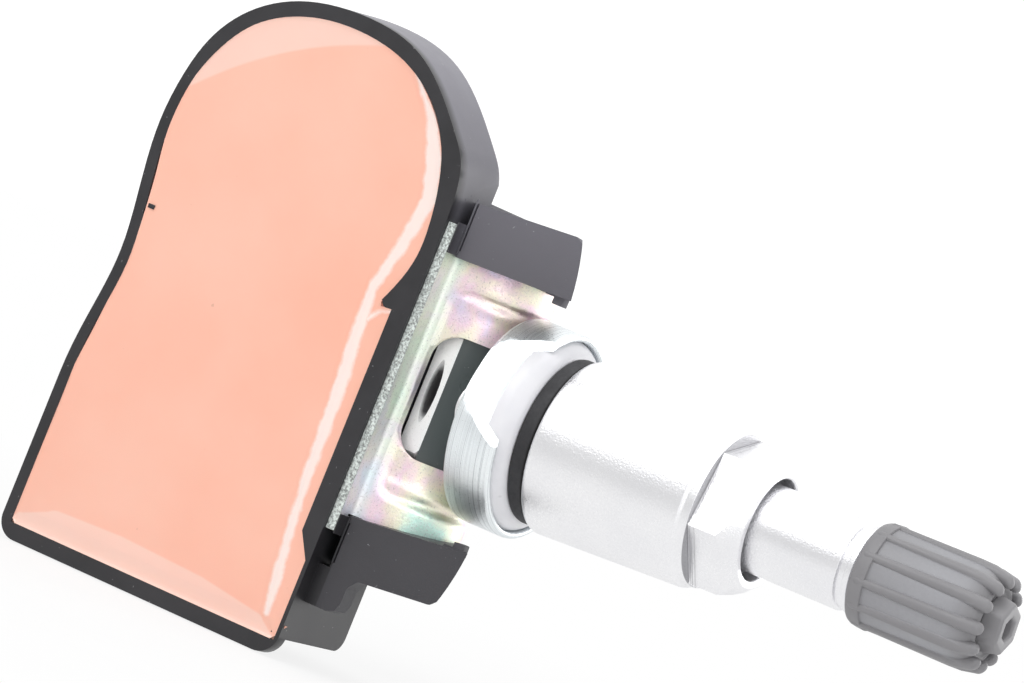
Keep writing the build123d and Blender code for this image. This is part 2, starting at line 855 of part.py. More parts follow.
SPRING_WIRE = 0.14
SPRING_R = 0.85
SPRING_LEN = COLLAR - LEDGE - 2 * SPRING_WIRE
with BuildPart() as spring:
    with BuildLine():
        coil = Helix(
            SPRING_LEN / 5,
            SPRING_LEN,
            SPRING_R,
            center=(LEDGE + SPRING_WIRE, 0, 0),
            direction=(1, 0, 0),
        )
    with BuildSketch(Plane(origin=coil @ 0, z_dir=coil % 0)):
        RegularPolygon(SPRING_WIRE, 6)
    sweep()
spring.part.label = "core_spring"
export_step(spring.part, "parts/core_spring.step")
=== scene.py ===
"""Looks of a tyre pressure sensor with a swivelling valve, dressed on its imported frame."""

from __future__ import annotations

import logging
import math
from collections.abc import Callable, Mapping, Sequence
from dataclasses import dataclass
from enum import Enum

import bpy
from mathutils import Matrix, Vector


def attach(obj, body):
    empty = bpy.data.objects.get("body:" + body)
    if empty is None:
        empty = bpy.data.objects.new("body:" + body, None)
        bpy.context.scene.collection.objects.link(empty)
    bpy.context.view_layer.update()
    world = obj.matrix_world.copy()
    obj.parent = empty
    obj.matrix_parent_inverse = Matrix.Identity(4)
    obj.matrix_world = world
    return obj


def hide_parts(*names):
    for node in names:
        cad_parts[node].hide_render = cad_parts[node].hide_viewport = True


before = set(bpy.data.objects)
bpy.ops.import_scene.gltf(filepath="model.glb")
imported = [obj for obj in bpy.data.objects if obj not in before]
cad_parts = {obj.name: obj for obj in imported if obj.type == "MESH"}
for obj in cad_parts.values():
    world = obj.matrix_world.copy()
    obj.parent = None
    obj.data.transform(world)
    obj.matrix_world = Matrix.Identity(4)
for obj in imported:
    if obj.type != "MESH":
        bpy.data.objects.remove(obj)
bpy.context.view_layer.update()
LOG = logging.getLogger("tyre_sensor")
MM = 0.001
PER_MM = 1000.0
MERGE = 2e-7
FLAT_DEGREES = 0.6

Point = tuple[float, float, float]
Pair = tuple[float, float]
Colour = tuple[float, float, float]
Socket = bpy.types.NodeSocket
Piece = bpy.types.Object
Finish = bpy.types.Material
WHITE: Colour = (1.0, 1.0, 1.0)


def shade(colour: Colour, factor: float) -> Colour:
    """A colour made darker by a factor."""
    return tuple(channel * factor for channel in colour)


class Nodes:
    """Writes the node tree of a material or a world in a few plain calls."""

    def __init__(self, name: str, world: bool = False) -> None:
        """Start an empty tree.

        Args:
            name: The material's or the world's name.
            world: Whether it is a world's.
        """
        self.owner = (bpy.data.worlds if world else bpy.data.materials).new(name)
        self.owner.use_nodes = True
        self.tree = self.owner.node_tree
        self.tree.nodes.clear()
        self.out = self.add("OutputWorld" if world else "OutputMaterial")
        self.coords = self.add("TexCoord")

    def link(self, out: Socket, into: Socket) -> None:
        """Join two sockets."""
        self.tree.links.new(out, into)

    def add(self, kind: str, inputs: Mapping[str | int, object] | None = None, **settings: object) -> bpy.types.Node:
        """Add a node.

        Args:
            kind: The node's type without its ShaderNode prefix.
            inputs: Sockets, numbers, vectors or colours for its inputs.
            **settings: Attributes to set on it.

        Returns:
            The new node.
        """
        node = self.tree.nodes.new("ShaderNode" + kind)
        for key, value in settings.items():
            setattr(node, key, value)
        for key, value in (inputs or {}).items():
            socket = node.inputs[key]
            if isinstance(value, Socket):
                self.link(value, socket)
            elif socket.type == "RGBA":
                socket.default_value = (*value, 1)
            else:
                socket.default_value = value
        return node

    def mapped(self, scale: Sequence[float]) -> Socket:
        """Object coordinates, scaled by factors along each axis."""
        return self.add("Mapping", {"Scale": scale, "Vector": self.coords.outputs["Object"]}).outputs["Vector"]

    def along(self, axis: str) -> Socket:
        """Object coordinates along one axis, in millimetres."""
        return self.add("SeparateXYZ", {0: self.mapped((PER_MM, PER_MM, PER_MM))}).outputs[axis]

    def across(self, axis: str, low: float, high: float, to: Pair = (0.0, 1.0)) -> Socket:
        """A value that changes between two places along an axis.

        Args:
            axis: X, Y or Z.
            low: Where the first end is reached, in millimetres.
            high: Where the second end is reached.
            to: The two ends.

        Returns:
            The value's socket.
        """
        return self.span(self.along(axis), low, high, to)

    def away(self, axes: Point, middle: Point = (0, 0, 0)) -> Socket:
        """Distance from a place in millimetres.

        Args:
            axes: 1 for each axis that counts, 0 for the others.
            middle: The place.

        Returns:
            The distance's socket.
        """
        scale = [PER_MM * axis for axis in axes]
        return self.add("VectorMath", {0: self.mapped(scale), 1: middle}, operation="DISTANCE").outputs["Value"]

    def noise(
        self,
        scale: float,
        detail: float = 4.0,
        rough: float = 0.5,
        stretch: Sequence[float] = (1, 1, 1),
        distortion: float = 0.0,
    ) -> Socket:
        """A noise value in object space.

        Args:
            scale: Features per metre.
            detail: Octaves.
            rough: How much the small octaves count.
            stretch: Factors on the scale along each axis.
            distortion: Warp of the pattern.

        Returns:
            The noise value's socket.
        """
        inputs = {"Scale": 1.0, "Detail": detail, "Roughness": rough, "Distortion": distortion}
        inputs["Vector"] = self.mapped([scale * s for s in stretch])
        return self.add("TexNoise", inputs).outputs["Fac"]

    def ramp(self, value: Socket, stops: Sequence[tuple[float, Colour]]) -> Socket:
        """A colour ramp over a value.

        Args:
            value: The socket to read.
            stops: Places from 0 to 1 with their colours.

        Returns:
            The colour socket.
        """
        node = self.add("ValToRGB", {"Fac": value})
        band = node.color_ramp
        while len(band.elements) > 1:
            band.elements.remove(band.elements[-1])
        band.elements[0].position = stops[0][0]
        band.elements[0].color = (*stops[0][1], 1)
        for place, colour in stops[1:]:
            band.elements.new(place).color = (*colour, 1)
        return node.outputs["Color"]

    def span(self, value: Socket, low: float, high: float, to: Pair = (0.0, 1.0)) -> Socket:
        """Map a value's range to another, clamped.

        Args:
            value: The socket to read.
            low: Value that gives the first end.
            high: Value that gives the second end.
            to: The two ends.

        Returns:
            The mapped value's socket.
        """
        inputs = {"From Min": low, "From Max": high, "To Min": to[0], "To Max": to[1], "Value": value}
        return self.add("MapRange", inputs).outputs["Result"]

    def mix(self, factor: Socket | float, first: Colour | Socket, second: Colour | Socket) -> Socket:
        """Mix two colours.

        Args:
            factor: A socket or a number.
            first: The colour at factor 0.
            second: The colour at factor 1.

        Returns:
            The colour socket.
        """
        return self.add("Mix", {0: factor, 6: first, 7: second}, data_type="RGBA").outputs[2]

    def math(self, operation: str, first: Socket | float, second: Socket | float = 0.5) -> Socket:
        """A sum on values.

        Args:
            operation: The Math node's operation.
            first: A number or a socket.
            second: A number or a socket.

        Returns:
            The value socket.
        """
        return self.add("Math", {0: first, 1: second}, operation=operation).outputs[0]

    def times(self, first: Socket | float, second: Socket | float) -> Socket:
        """The product of two values."""
        return self.math("MULTIPLY", first, second)

    def most(self, first: Socket | float, second: Socket | float) -> Socket:
        """The larger of two values."""
        return self.math("MAXIMUM", first, second)

    def stroke(self, points: Sequence[Point]) -> Socket:
        """Distance to a line of varying width, seen along Y, in millimetres.

        Args:
            points: Places (x, z) of the line with half its width there.

        Returns:
            The distance from the line's edge, which is below zero inside it.
        """
        spot = self.mapped((PER_MM, 0, PER_MM))
        nearest: Socket | float = PER_MM
        for (ax, az, aw), (bx, bz, bw) in zip(points, points[1:]):
            way = Vector((bx - ax, 0, bz - az))
            start = self.add("VectorMath", {0: spot, 1: (ax, 0, az)}, operation="SUBTRACT").outputs[0]
            dot = self.add("VectorMath", {0: start, 1: way}, operation="DOT_PRODUCT").outputs["Value"]
            share = self.span(dot, 0.0, way.length_squared)
            along = self.add("VectorMath", {0: way, "Scale": share}, operation="SCALE").outputs[0]
            rest = self.add("VectorMath", {0: start, 1: along}, operation="DISTANCE").outputs["Value"]
            gap = self.math("SUBTRACT", rest, self.span(share, 0.0, 1.0, (aw, bw)))
            nearest = self.math("MINIMUM", gap, nearest)
        return nearest

    def bump(self, height: Socket, depth: float, strength: float, under: Socket | None = None) -> Socket:
        """A bump from a height.

        Args:
            height: Height value from 0 to 1.
            depth: Depth of the bump in metres.
            strength: Strength of the effect.
            under: Another bump to lay this one on.

        Returns:
            The normal socket.
        """
        inputs = {"Strength": strength, "Distance": depth, "Height": height}
        if under is not None:
            inputs["Normal"] = under
        return self.add("Bump", inputs).outputs["Normal"]

    def surface(self, **values: object) -> Finish:
        """Add the main shader and join it to the output.

        Args:
            **values: Socket names (with _ for spaces) and their colours, numbers or sockets.

        Returns:
            The finished material.
        """
        shader = self.add("BsdfPrincipled", {key.replace("_", " "): value for key, value in values.items()})
        self.link(shader.outputs["BSDF"], self.out.inputs["Surface"])
        return self.owner

    def either(self, factor: Socket, first: Socket, second: Socket) -> None:
        """Join a mix of two shaders to the output."""
        mixed = self.add("MixShader", {0: factor, 1: first, 2: second})
        self.link(mixed.outputs["Shader"], self.out.inputs["Surface"])


@dataclass(frozen=True)
class BlackPlastic:
    """Moulded black nylon: smooth on the tray, matt and greyer on the arms, with dust and specks, painted shade towards
    the bottom of the arms and painted light on the upper side wall.
    """

    name: str = "black_moulded_plastic"
    colour: Colour = (0.016, 0.0155, 0.018)
    matt: Colour = (0.068, 0.0655, 0.075)
    # painted shade: the arms' darker colour towards the bottom
    shaded: Colour = (0.042, 0.041, 0.047)
    # painted light: the paler colour of the side wall towards the top
    side: Colour = (0.2, 0.195, 0.228)
    dust: Colour = (0.12, 0.115, 0.13)
    speck: Colour = (0.4, 0.4, 0.42)
    roughness: float = 0.42
    arms_from: float = -13.4

    def build(self) -> Finish:
        """Returns: The finished material."""
        n = Nodes(self.name)
        fine = n.noise(4200, 3, 0.65)
        cloud = n.noise(150, 4, 0.6)
        arm = n.across("X", self.arms_from, self.arms_from + 0.08)
        specks = n.span(n.noise(2400, 2), 0.73, 0.78)
        # the arms go from painted shade at the bottom to their matt colour at the top
        colour = n.mix(arm, self.colour, n.mix(n.across("Z", -12.0, 12.0), self.shaded, self.matt))
        # painted light: the side wall behind the front face grows paler towards the top
        painted_light_flank = n.times(n.across("Y", -9.3, -8.2), n.across("Z", 6.0, 27.0))
        colour = n.mix(painted_light_flank, colour, self.side)
        colour = n.mix(n.span(cloud, 0.35, 0.8, (0.0, 0.12)), colour, self.dust)
        colour = n.mix(n.times(specks, 0.5), colour, self.speck)
        rough = n.span(cloud, 0.3, 0.7, (self.roughness - 0.05, self.roughness + 0.07))
        grain = n.times(fine, n.span(arm, 0, 1, (0.25, 1.0)))
        return n.surface(
            Base_Color=colour,
            Roughness=n.math("ADD", rough, n.times(arm, 0.16)),
            Specular_IOR_Level=0.5,
            Normal=n.bump(grain, 0.000016, 0.6),
        )


@dataclass(frozen=True)
class Potting:
    """Cast salmon resin: glossy and slightly cloudy, with painted highlights along its edge at the wall, along the
    bottom and in an arc near the top.
    """

    name: str = "salmon_potting"
    colour: Colour = (0.99, 0.50, 0.372)
    pale: Colour = (1.0, 0.575, 0.45)
    # painted highlight: the pale colour of the highlights along the resin's edges
    painted_highlight: Colour = (1.0, 0.90, 0.86)
    speck: Colour = (0.6, 0.3, 0.22)
    roughness: float = 0.14
    ridge: tuple[Point, ...] = (
        (-22.73, 25.14, 0.05), (-19.76, 21.85, 0.4), (-18.11, 18.68, 0.75), (-17.1, 15.32, 0.7),
        (-17.96, 10.5, 0.5), (-19.0, 6.76, 0.42), (-18.92, 3.79, 0.5), (-18.57, -0.2, 0.6), (-18.26, -4.58, 0.55),
        (-18.09, -10.51, 0.42), (-17.56, -16.29, 0.36), (-17.09, -19.85, 0.45), (-16.76, -23.09, 0.25),
    )
    lower: tuple[Point, ...] = (
        (-43.1, -24.6, 0.7), (-39.6, -24.3, 1.8), (-33.0, -24.2, 1.95), (-24.1, -24.3, 1.7), (-17.7, -24.6, 1.15),
        (-15.5, -25.0, 0.3),
    )
    tail: tuple[Point, ...] = ((-18.33, 3.77, 0.14), (-17.88, 4.4, 0.08), (-17.32, 4.79, 0.05), (-16.42, 5.12, 0.03))
    turn: Point = (-17.8, 0, -9.1)
    turn_r: float = 36.6

    def build(self) -> Finish:
        """Returns: The finished material."""
        n = Nodes(self.name)
        cloud = n.noise(60, 3)
        wave = n.noise(50, 2, 0.4)
        ragged = n.span(n.noise(900, 3, 0.6), 0.3, 0.7, (-0.12, 0.12))
        specks = n.span(n.noise(1500, 2), 0.76, 0.8)
        ridge = n.math("ADD", n.math("MINIMUM", n.stroke(self.ridge), n.stroke(self.tail)), ragged)
        # painted highlight: a band along the edge where the resin meets the wall, then fainter ones along the bottom
        # and in an arc near the top
        rim = n.span(ridge, 0.22, -0.12)
        lower = n.span(n.stroke(self.lower), 0.12, -0.06)
        upper = n.span(n.away((1, 0, 1), self.turn), self.turn_r - 0.1, self.turn_r + 0.15)
        upper = n.times(upper, n.across("Z", 12.0, 15.0))
        colour = n.mix(n.span(cloud, 0.3, 0.7), self.colour, self.pale)
        # mix in the painted highlights: faint along the bottom and the arc, strong along the wall
        colour = n.mix(n.times(n.most(lower, upper), 0.3), colour, self.painted_highlight)
        colour = n.mix(n.times(rim, 0.8), colour, self.painted_highlight)
        return n.surface(
            Base_Color=n.mix(n.times(specks, 0.4), colour, self.speck),
            Roughness=n.span(n.noise(300, 3, 0.55), 0.3, 0.7, (self.roughness, self.roughness + 0.07)),
            Specular_IOR_Level=0.5,
            Subsurface_Weight=0.06,
            Subsurface_Radius=(0.003, 0.001, 0.0007),
            Normal=n.bump(wave, 0.0002, 0.3, n.bump(n.span(ridge, 0.5, -0.5), 0.0002, 0.5)),
        )


@dataclass(frozen=True)
class ZincPlate:
    """Passivated zinc: pale metal with pastel interference colours, greener on the flange, raw at the sheared edge."""

    name: str = "passivated_zinc"
    hues: tuple[tuple[float, Colour], ...] = (
        (0.28, (0.60, 0.90, 0.80)), (0.38, (0.90, 0.92, 0.70)), (0.46, (0.96, 0.86, 0.70)),
        (0.54, (0.97, 0.72, 0.82)), (0.62, (0.84, 0.74, 0.96)), (0.74, (0.72, 0.90, 0.95)),
    )
    pale: Colour = (0.84, 0.8, 0.8)
    green: Colour = (0.74, 0.9, 0.85)
    pit: Colour = (0.35, 0.32, 0.33)
    raw: tuple[Colour, Colour] = ((0.3, 0.32, 0.31), (0.82, 0.88, 0.85))
    roughness: float = 0.36
    scale: float = 170.0
    flange_x: float = -12.9
    sheared_y: float = -9.0

    def build(self) -> Finish:
        """Returns: The finished material."""
        n = Nodes(self.name)
        hue = n.ramp(n.noise(self.scale, 3, 0.55, distortion=0.4), self.hues)
        grain = n.noise(5200, 3, 0.65)
        pits = n.span(n.noise(6500, 2, 0.6), 0.58, 0.7)
        colour = n.mix(n.span(grain, 0.35, 0.65, (0.0, 0.38)), hue, self.pale)
        flange = n.across("X", self.flange_x + 0.5, self.flange_x - 0.3, (0.0, 0.55))
        colour = n.mix(flange, colour, self.green)
        colour = n.mix(n.times(pits, 0.5), colour, self.pit)
        edge = n.across("Y", self.sheared_y + 0.06, self.sheared_y - 0.02)
        crumbs = n.span(n.noise(4200, 3, 0.7), 0.38, 0.58)
        rough = n.span(grain, 0.3, 0.7, (self.roughness - 0.06, self.roughness + 0.16))
        under = n.bump(n.times(edge, crumbs), 0.00008, 0.6)
        return n.surface(
            Base_Color=n.mix(edge, colour, n.mix(crumbs, *self.raw)),
            Metallic=n.span(edge, 0, 1, (1.0, 0.5)),
            Roughness=n.math("ADD", rough, n.times(n.most(edge, flange), 0.22)),
            Normal=n.bump(grain, 0.000022, 0.9, under),
        )


@dataclass(frozen=True)
class Turned:
    """Machined metal with turning marks round the valve's axis and a fine sparkle, and, where set, painted shade in the
    corner where the hexagon meets the sleeve and inside the head's inlets.
    """

    name: str = "turned_aluminium"
    colour: Colour = (0.93, 0.93, 0.94)
    dark: Colour = (0.8, 0.8, 0.83)
    # painted shade inside the inlets of the flat head
    hollow: Colour = (0.2, 0.195, 0.2)
    roughness: float = 0.3
    marks: float = 3000.0
    depth: float = 0.000004
    sparkle: float = 0.2
    streaks: float = 0.0
    head_x: float = -50.0
    metal: float = 1.0
    shoulder_x: float = -50.0
    inlet_y: float = -4.95

    def build(self) -> Finish:
        """Returns: The finished material."""
        n = Nodes(self.name)
        rings = n.noise(1.0, 4, 0.7, stretch=(self.marks, 24, 24))
        cloud = n.noise(120, 3)
        grain = n.noise(7000, 2, 0.7)
        at = self.shoulder_x
        colour = n.mix(n.span(cloud, 0.35, 0.7, (0.0, 0.5)), self.colour, self.dark)
        colour = n.mix(n.span(grain, 0.35, 0.75, (0.0, self.sparkle)), colour, self.dark)
        colour = n.mix(n.span(rings, 0.5, 0.62, (0.0, self.streaks)), colour, shade(self.dark, 0.5))
        after = n.times(n.across("X", at - 0.02, at + 0.02), n.across("X", at + 1.1, at + 0.5))
        cuts = n.span(n.noise(1.0, 3, 0.7, stretch=(6500, 30, 30)), 0.5, 0.58, (0.0, 0.55))
        colour = n.mix(n.times(after, cuts), colour, shade(self.dark, 0.35))
        # painted shade: a dark band in the corner where the hexagon meets the sleeve
        painted_corner_shade = n.times(n.across("X", at - 0.04, at - 0.02), n.across("X", at + 0.04, at + 0.02))
        colour = n.mix(painted_corner_shade, colour, shade(self.dark, 0.55))
        blasted = n.across("X", self.head_x + 0.1, self.head_x - 0.1)
        # painted shade inside the lens-shaped inlets of the head
        inlet = n.times(blasted, n.across("Y", self.inlet_y, self.inlet_y + 0.5))
        inlet = n.times(inlet, n.span(n.math("ABSOLUTE", n.along("Z")), 2.5, 1.9))
        colour = n.mix(blasted, colour, WHITE)
        return n.surface(
            Base_Color=n.mix(inlet, colour, self.hollow),
            Metallic=n.span(blasted, 0, 1, (self.metal, 0.15)),
            Roughness=n.span(grain, 0.3, 0.75, (self.roughness - 0.04, self.roughness + 0.1)),
            Normal=n.bump(rings, self.depth, 0.6, n.bump(n.noise(5200, 2, 0.7), 0.00004, 0.8)),
        )


@dataclass(frozen=True)
class MouldedGrey:
    """Grey plastic: satin, with faint flow marks and a few scuffs, darker and warmer on the ribs, and darker towards
    the end as painted shade.
    """

    name: str = "grey_cap_plastic"
    colour: Colour = (0.29, 0.29, 0.305)
    roughness: float = 0.46
    speckle: float = 0.12
    raised: float = 90.0
    # where the painted shade towards the cap's end starts
    boss_x: float = 90.0

    def build(self) -> Finish:
        """Returns: The finished material."""
        n = Nodes(self.name)
        fine = n.noise(3600, 3, 0.6)
        cloud = n.noise(180, 3, 0.55)
        ribs = n.span(n.away((0, 1, 1)), self.raised, self.raised + 0.1)
        # the ribs are darker and warmer; from boss_x on towards the end the same tone is painted shade
        ribs_and_painted_end_shade = n.most(ribs, n.across("X", self.boss_x, self.boss_x + 1.8))
        lighter = tuple(min(1.0, c * 1.25 + 0.01) for c in self.colour)
        scuffs = n.span(n.noise(900, 3, 0.6, stretch=(0.25, 1, 1)), 0.7, 0.76)
        colour = n.mix(n.span(cloud, 0.3, 0.75, (0.0, 0.5)), self.colour, lighter)
        colour = n.mix(n.span(fine, 0.4, 0.75, (0.0, self.speckle)), colour, shade(self.colour, 0.6))
        colour = n.mix(n.times(scuffs, 0.25), colour, shade(self.colour, 0.5))
        warmer = tuple(c * share for c, share in zip(self.colour, (0.78, 0.765, 0.75)))
        return n.surface(
            Base_Color=n.mix(ribs_and_painted_end_shade, colour, warmer),
            Roughness=n.span(cloud, 0.3, 0.7, (self.roughness - 0.05, self.roughness + 0.08)),
            Specular_IOR_Level=0.5,
            Normal=n.bump(fine, 0.000006, 0.5),
        )


@dataclass(frozen=True)
class Rubber:
    """Black seal rubber: matt, slightly dusty, and near black as painted shade where the nut meets the seal."""

    name: str = "seal_rubber"
    colour: Colour = (0.03, 0.03, 0.033)
    dust: Colour = (0.09, 0.09, 0.095)
    # painted shade where the seal meets the nut
    line: Colour = (0.002, 0.002, 0.002)

    def build(self) -> Finish:
        """Returns: The finished material."""
        n = Nodes(self.name)
        fine = n.noise(3800, 3, 0.6)
        cloud = n.noise(300, 3, 0.55)
        colour = n.mix(n.span(cloud, 0.4, 0.8, (0.0, 0.5)), self.colour, self.dust)
        return n.surface(
            # painted shade: near black from just behind the seal's front edge, where the nut meets it
            Base_Color=n.mix(n.across("X", -0.34, -0.2), colour, self.line),
            Roughness=n.span(fine, 0.3, 0.7, (0.55, 0.75)),
            Specular_IOR_Level=0.35,
            Normal=n.bump(fine, 0.000012, 0.6),
        )


@dataclass(frozen=True)
class PaintedBoard:
    """Solder-masked circuit board with a woven glass core."""

    name: str = "green_board"
    dark: Colour = (0.01, 0.13, 0.05)
    light: Colour = (0.02, 0.2, 0.08)

    def build(self) -> Finish:
        """Returns: The finished material."""
        n = Nodes(self.name)
        threads = n.mapped((1800, 1800, 1800))
        weave = n.add("TexWave", {"Scale": 1.0, "Vector": threads}, wave_type="BANDS", bands_direction="X")
        colour = n.mix(n.span(n.noise(400, 3, 0.55), 0.3, 0.7), self.dark, self.light)
        return n.surface(Base_Color=colour, Roughness=0.35, Normal=n.bump(weave.outputs["Fac"], 0.00001, 0.4))


def deselect() -> None:
    """Leave edit mode with nothing selected."""
    if bpy.context.object and bpy.context.object.mode != "OBJECT":
        leave_edit()
    bpy.ops.object.select_all(action="DESELECT")


def leave_edit() -> None:
    """Go back to object mode."""
    bpy.ops.object.mode_set(mode="OBJECT")


def activate(piece: Piece) -> None:
    """Select one piece alone and make it active."""
    deselect()
    piece.select_set(True)
    bpy.context.view_layer.objects.active = piece


def edit(piece: Piece) -> None:
    """Go into edit mode on one piece, with all of it selected."""
    activate(piece)
    bpy.ops.object.mode_set(mode="EDIT")
    bpy.ops.mesh.select_all(action="SELECT")


def finish_mesh() -> None:
    """Merge doubles, turn the faces outwards and leave edit mode."""
    bpy.ops.mesh.select_all(action="SELECT")
    bpy.ops.mesh.remove_doubles(threshold=MERGE)
    bpy.ops.mesh.normals_make_consistent(inside=False)
    leave_edit()


def modify(piece: Piece, kind: str, **settings: object) -> None:
    """Add a modifier and apply it.

    Args:
        piece: The piece to change.
        kind: The modifier's type.
        **settings: Its settings.
    """
    activate(piece)
    modifier = piece.modifiers.new(kind.lower(), kind)
    for key, value in settings.items():
        setattr(modifier, key, value)
    bpy.ops.object.modifier_apply(modifier=modifier.name)


class Part(Enum):
    """What a selection is made of."""

    EDGES = "EDGE"
    FACES = "FACE"


def pick(piece: Piece, part: Part, test: Callable[[Vector, Vector], bool]) -> None:
    """Select parts of a mesh by their place and direction, and go into edit mode.

    Args:
        piece: The piece, which is active.
        part: Edges or faces.
        test: Says from the middle in millimetres and the direction whether one is wanted.
    """
    bpy.ops.object.mode_set(mode="EDIT")
    bpy.ops.mesh.select_mode(type=part.value)
    bpy.ops.mesh.select_all(action="DESELECT")
    leave_edit()
    mesh = piece.data
    if part is Part.FACES:
        for face in mesh.polygons:
            face.select = bool(test(face.center / MM, face.normal))
    else:
        for edge in mesh.edges:
            start, end = (mesh.vertices[i].co for i in edge.vertices)
            edge.select = bool(test((start + end) / 2 / MM, (end - start).normalized()))
    bpy.ops.object.mode_set(mode="EDIT")


def extrude(move: Point) -> None:
    """Extrude the selection by a move in millimetres."""
    value = tuple(m * MM for m in move)
    bpy.ops.mesh.extrude_region_move(TRANSFORM_OT_translate={"value": value})


def trace(name: str, path: Sequence[Point]) -> Piece:
    """Start a piece as one point and extrude it along a path, in edit mode.

    Args:
        name: The piece's name.
        path: Points in millimetres.

    Returns:
        The piece, in edit mode with all of it selected.
    """
    deselect()
    bpy.ops.mesh.primitive_plane_add(size=MM, location=(0, 0, 0))
    piece = bpy.context.object
    piece.name = piece.data.name = name
    bpy.ops.object.mode_set(mode="EDIT")
    bpy.ops.mesh.select_mode(type="VERT")
    bpy.ops.mesh.select_all(action="SELECT")
    bpy.ops.mesh.merge(type="CENTER")
    bpy.ops.transform.translate(value=tuple(c * MM for c in path[0]))
    for before, after in zip(path, path[1:]):
        extrude(tuple(b - a for a, b in zip(before, after)))
    bpy.ops.mesh.select_all(action="SELECT")
    return piece


def plate(name: str, path: Sequence[Point], move: Point) -> Piece:
    """Fill an outline and extrude it to a solid.

    Args:
        name: The piece's name.
        path: The outline's corners in millimetres.
        move: Direction and length of the extrusion.

    Returns:
        The new piece.
    """
    piece = trace(name, path)
    bpy.ops.mesh.edge_face_add()
    extrude(move)
    finish_mesh()
    return piece


def block(name: str, x: Pair, y: Pair, z: Pair) -> Piece:
    """A block between limits in millimetres, extruded from its lower side.

    Args:
        name: The piece's name.
        x: Its limits along X.
        y: Its limits along Y.
        z: Its limits along Z.

    Returns:
        The new piece.
    """
    corners = [(x[0], y[0], z[0]), (x[1], y[0], z[0]), (x[1], y[1], z[0]), (x[0], y[1], z[0])]
    return plate(name, corners, (0, 0, z[1] - z[0]))


def lathe(name: str, profile: Sequence[Pair], steps: int = 144) -> Piece:
    """Spin a closed profile round the valve's axis.

    Args:
        name: The piece's name.
        profile: Points of x and radius in millimetres.
        steps: Sides of the turned piece.

    Returns:
        The new piece.
    """
    path = [(x, 0.0, radius) for x, radius in profile]
    piece = trace(name, [*path, path[0]])
    bpy.ops.mesh.remove_doubles(threshold=MERGE)
    bpy.ops.mesh.select_all(action="SELECT")
    bpy.ops.mesh.spin(steps=steps, angle=math.tau, center=(0, 0, 0), axis=(1, 0, 0))
    finish_mesh()
    return piece


def hexagon(x: float, radius: float, phase: float) -> list[Point]:
    """Corners of a hexagon round the valve's axis.

    Args:
        x: Where it lies along the axis, in millimetres.
        radius: Distance of its corners from the axis.
        phase: Degrees to its first corner.

    Returns:
        The six corners.
    """
    turns = [math.radians(phase + 60 * i) for i in range(6)]
    return [(x, -radius * math.cos(turn), radius * math.sin(turn)) for turn in turns]


def slice_off(piece: Piece, at: Point, normal: Point) -> None:
    """Cut a piece with a plane and close it, keeping the side the normal points away from.

    Args:
        piece: The piece.
        at: A point of the plane in millimetres.
        normal: The plane's normal, towards what is taken away.
    """
    edit(piece)
    spot = tuple(c * MM for c in at)
    bpy.ops.mesh.bisect(plane_co=spot, plane_no=normal, use_fill=True, clear_outer=True)
    finish_mesh()


def combine(piece: Piece, tool: Piece, operation: str = "DIFFERENCE") -> None:
    """Cut or join a piece with another one, which is used up.

    Args:
        piece: The piece to change.
        tool: The other solid.
        operation: DIFFERENCE, UNION or INTERSECT.
    """
    modify(piece, "BOOLEAN", operation=operation, object=tool, solver="EXACT")
    bpy.data.objects.remove(tool)


def join(piece: Piece, *others: Piece) -> None:
    """Make several solids one object, each keeping its own closed surface."""
    deselect()
    for other in (*others, piece):
        other.select_set(True)
    bpy.context.view_layer.objects.active = piece
    bpy.ops.object.join()


def linked(name: str, mesh: bpy.types.Mesh) -> Piece:
    """A new piece of the scene that holds a mesh."""
    mesh.name = name
    piece = bpy.data.objects.new(name, mesh)
    bpy.context.scene.collection.objects.link(piece)
    return piece


def twin(piece: Piece, name: str, turn: float) -> Piece:
    """A copy with its own mesh, turned about the valve's axis.

    Args:
        piece: The piece to copy.
        name: The copy's name.
        turn: Degrees about X.

    Returns:
        The copy.
    """
    mesh = piece.data.copy()
    mesh.transform(Matrix.Rotation(math.radians(turn), 4, "X"))
    return linked(name, mesh)


def node_copy(node: str, name: str) -> Piece:
    """A merged copy of a CAD node, with its flat faces whole again.

    Args:
        node: The node's name.
        name: The copy's name.

    Returns:
        The copy.
    """
    piece = linked(name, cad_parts[node].data.copy())
    edit(piece)
    bpy.ops.mesh.customdata_custom_splitnormals_clear()
    bpy.ops.mesh.remove_doubles(threshold=MERGE)
    bpy.ops.mesh.dissolve_limited(angle_limit=math.radians(FLAT_DEGREES))
    leave_edit()
    return piece


def clean(piece: Piece) -> None:
    """Melt slivers that cuts and roundings leave behind."""
    edit(piece)
    bpy.ops.mesh.remove_doubles(threshold=0.002 * MM)
    bpy.ops.mesh.dissolve_degenerate(threshold=0.001 * MM)
    bpy.ops.mesh.select_all(action="SELECT")
    bpy.ops.mesh.delete_loose(use_verts=True, use_edges=True, use_faces=False)
    leave_edit()


def round_edges(piece: Piece, width: float, degrees: float, segments: int = 2) -> None:
    """Round a piece's edges.

    Args:
        piece: The piece to change.
        width: Width of the rounding in millimetres.
        degrees: Edges sharper than this are rounded.
        segments: Steps across it.
    """
    modify(
        piece,
        "BEVEL",
        width=width * MM,
        segments=segments,
        limit_method="ANGLE",
        angle_limit=math.radians(degrees),
        use_clamp_overlap=True,
        harden_normals=False,
    )
    clean(piece)


def smooth(piece: Piece, degrees: float, flats: bool = True) -> None:
    """Shade a piece smooth up to an angle.

    Args:
        piece: The piece to shade.
        degrees: Edges sharper than this stay sharp.
        flats: Whether its large faces are kept flat.
    """
    activate(piece)
    bpy.ops.object.shade_smooth_by_angle(angle=math.radians(degrees))
    if flats:
        modify(piece, "WEIGHTED_NORMAL", weight=50, keep_sharp=True)


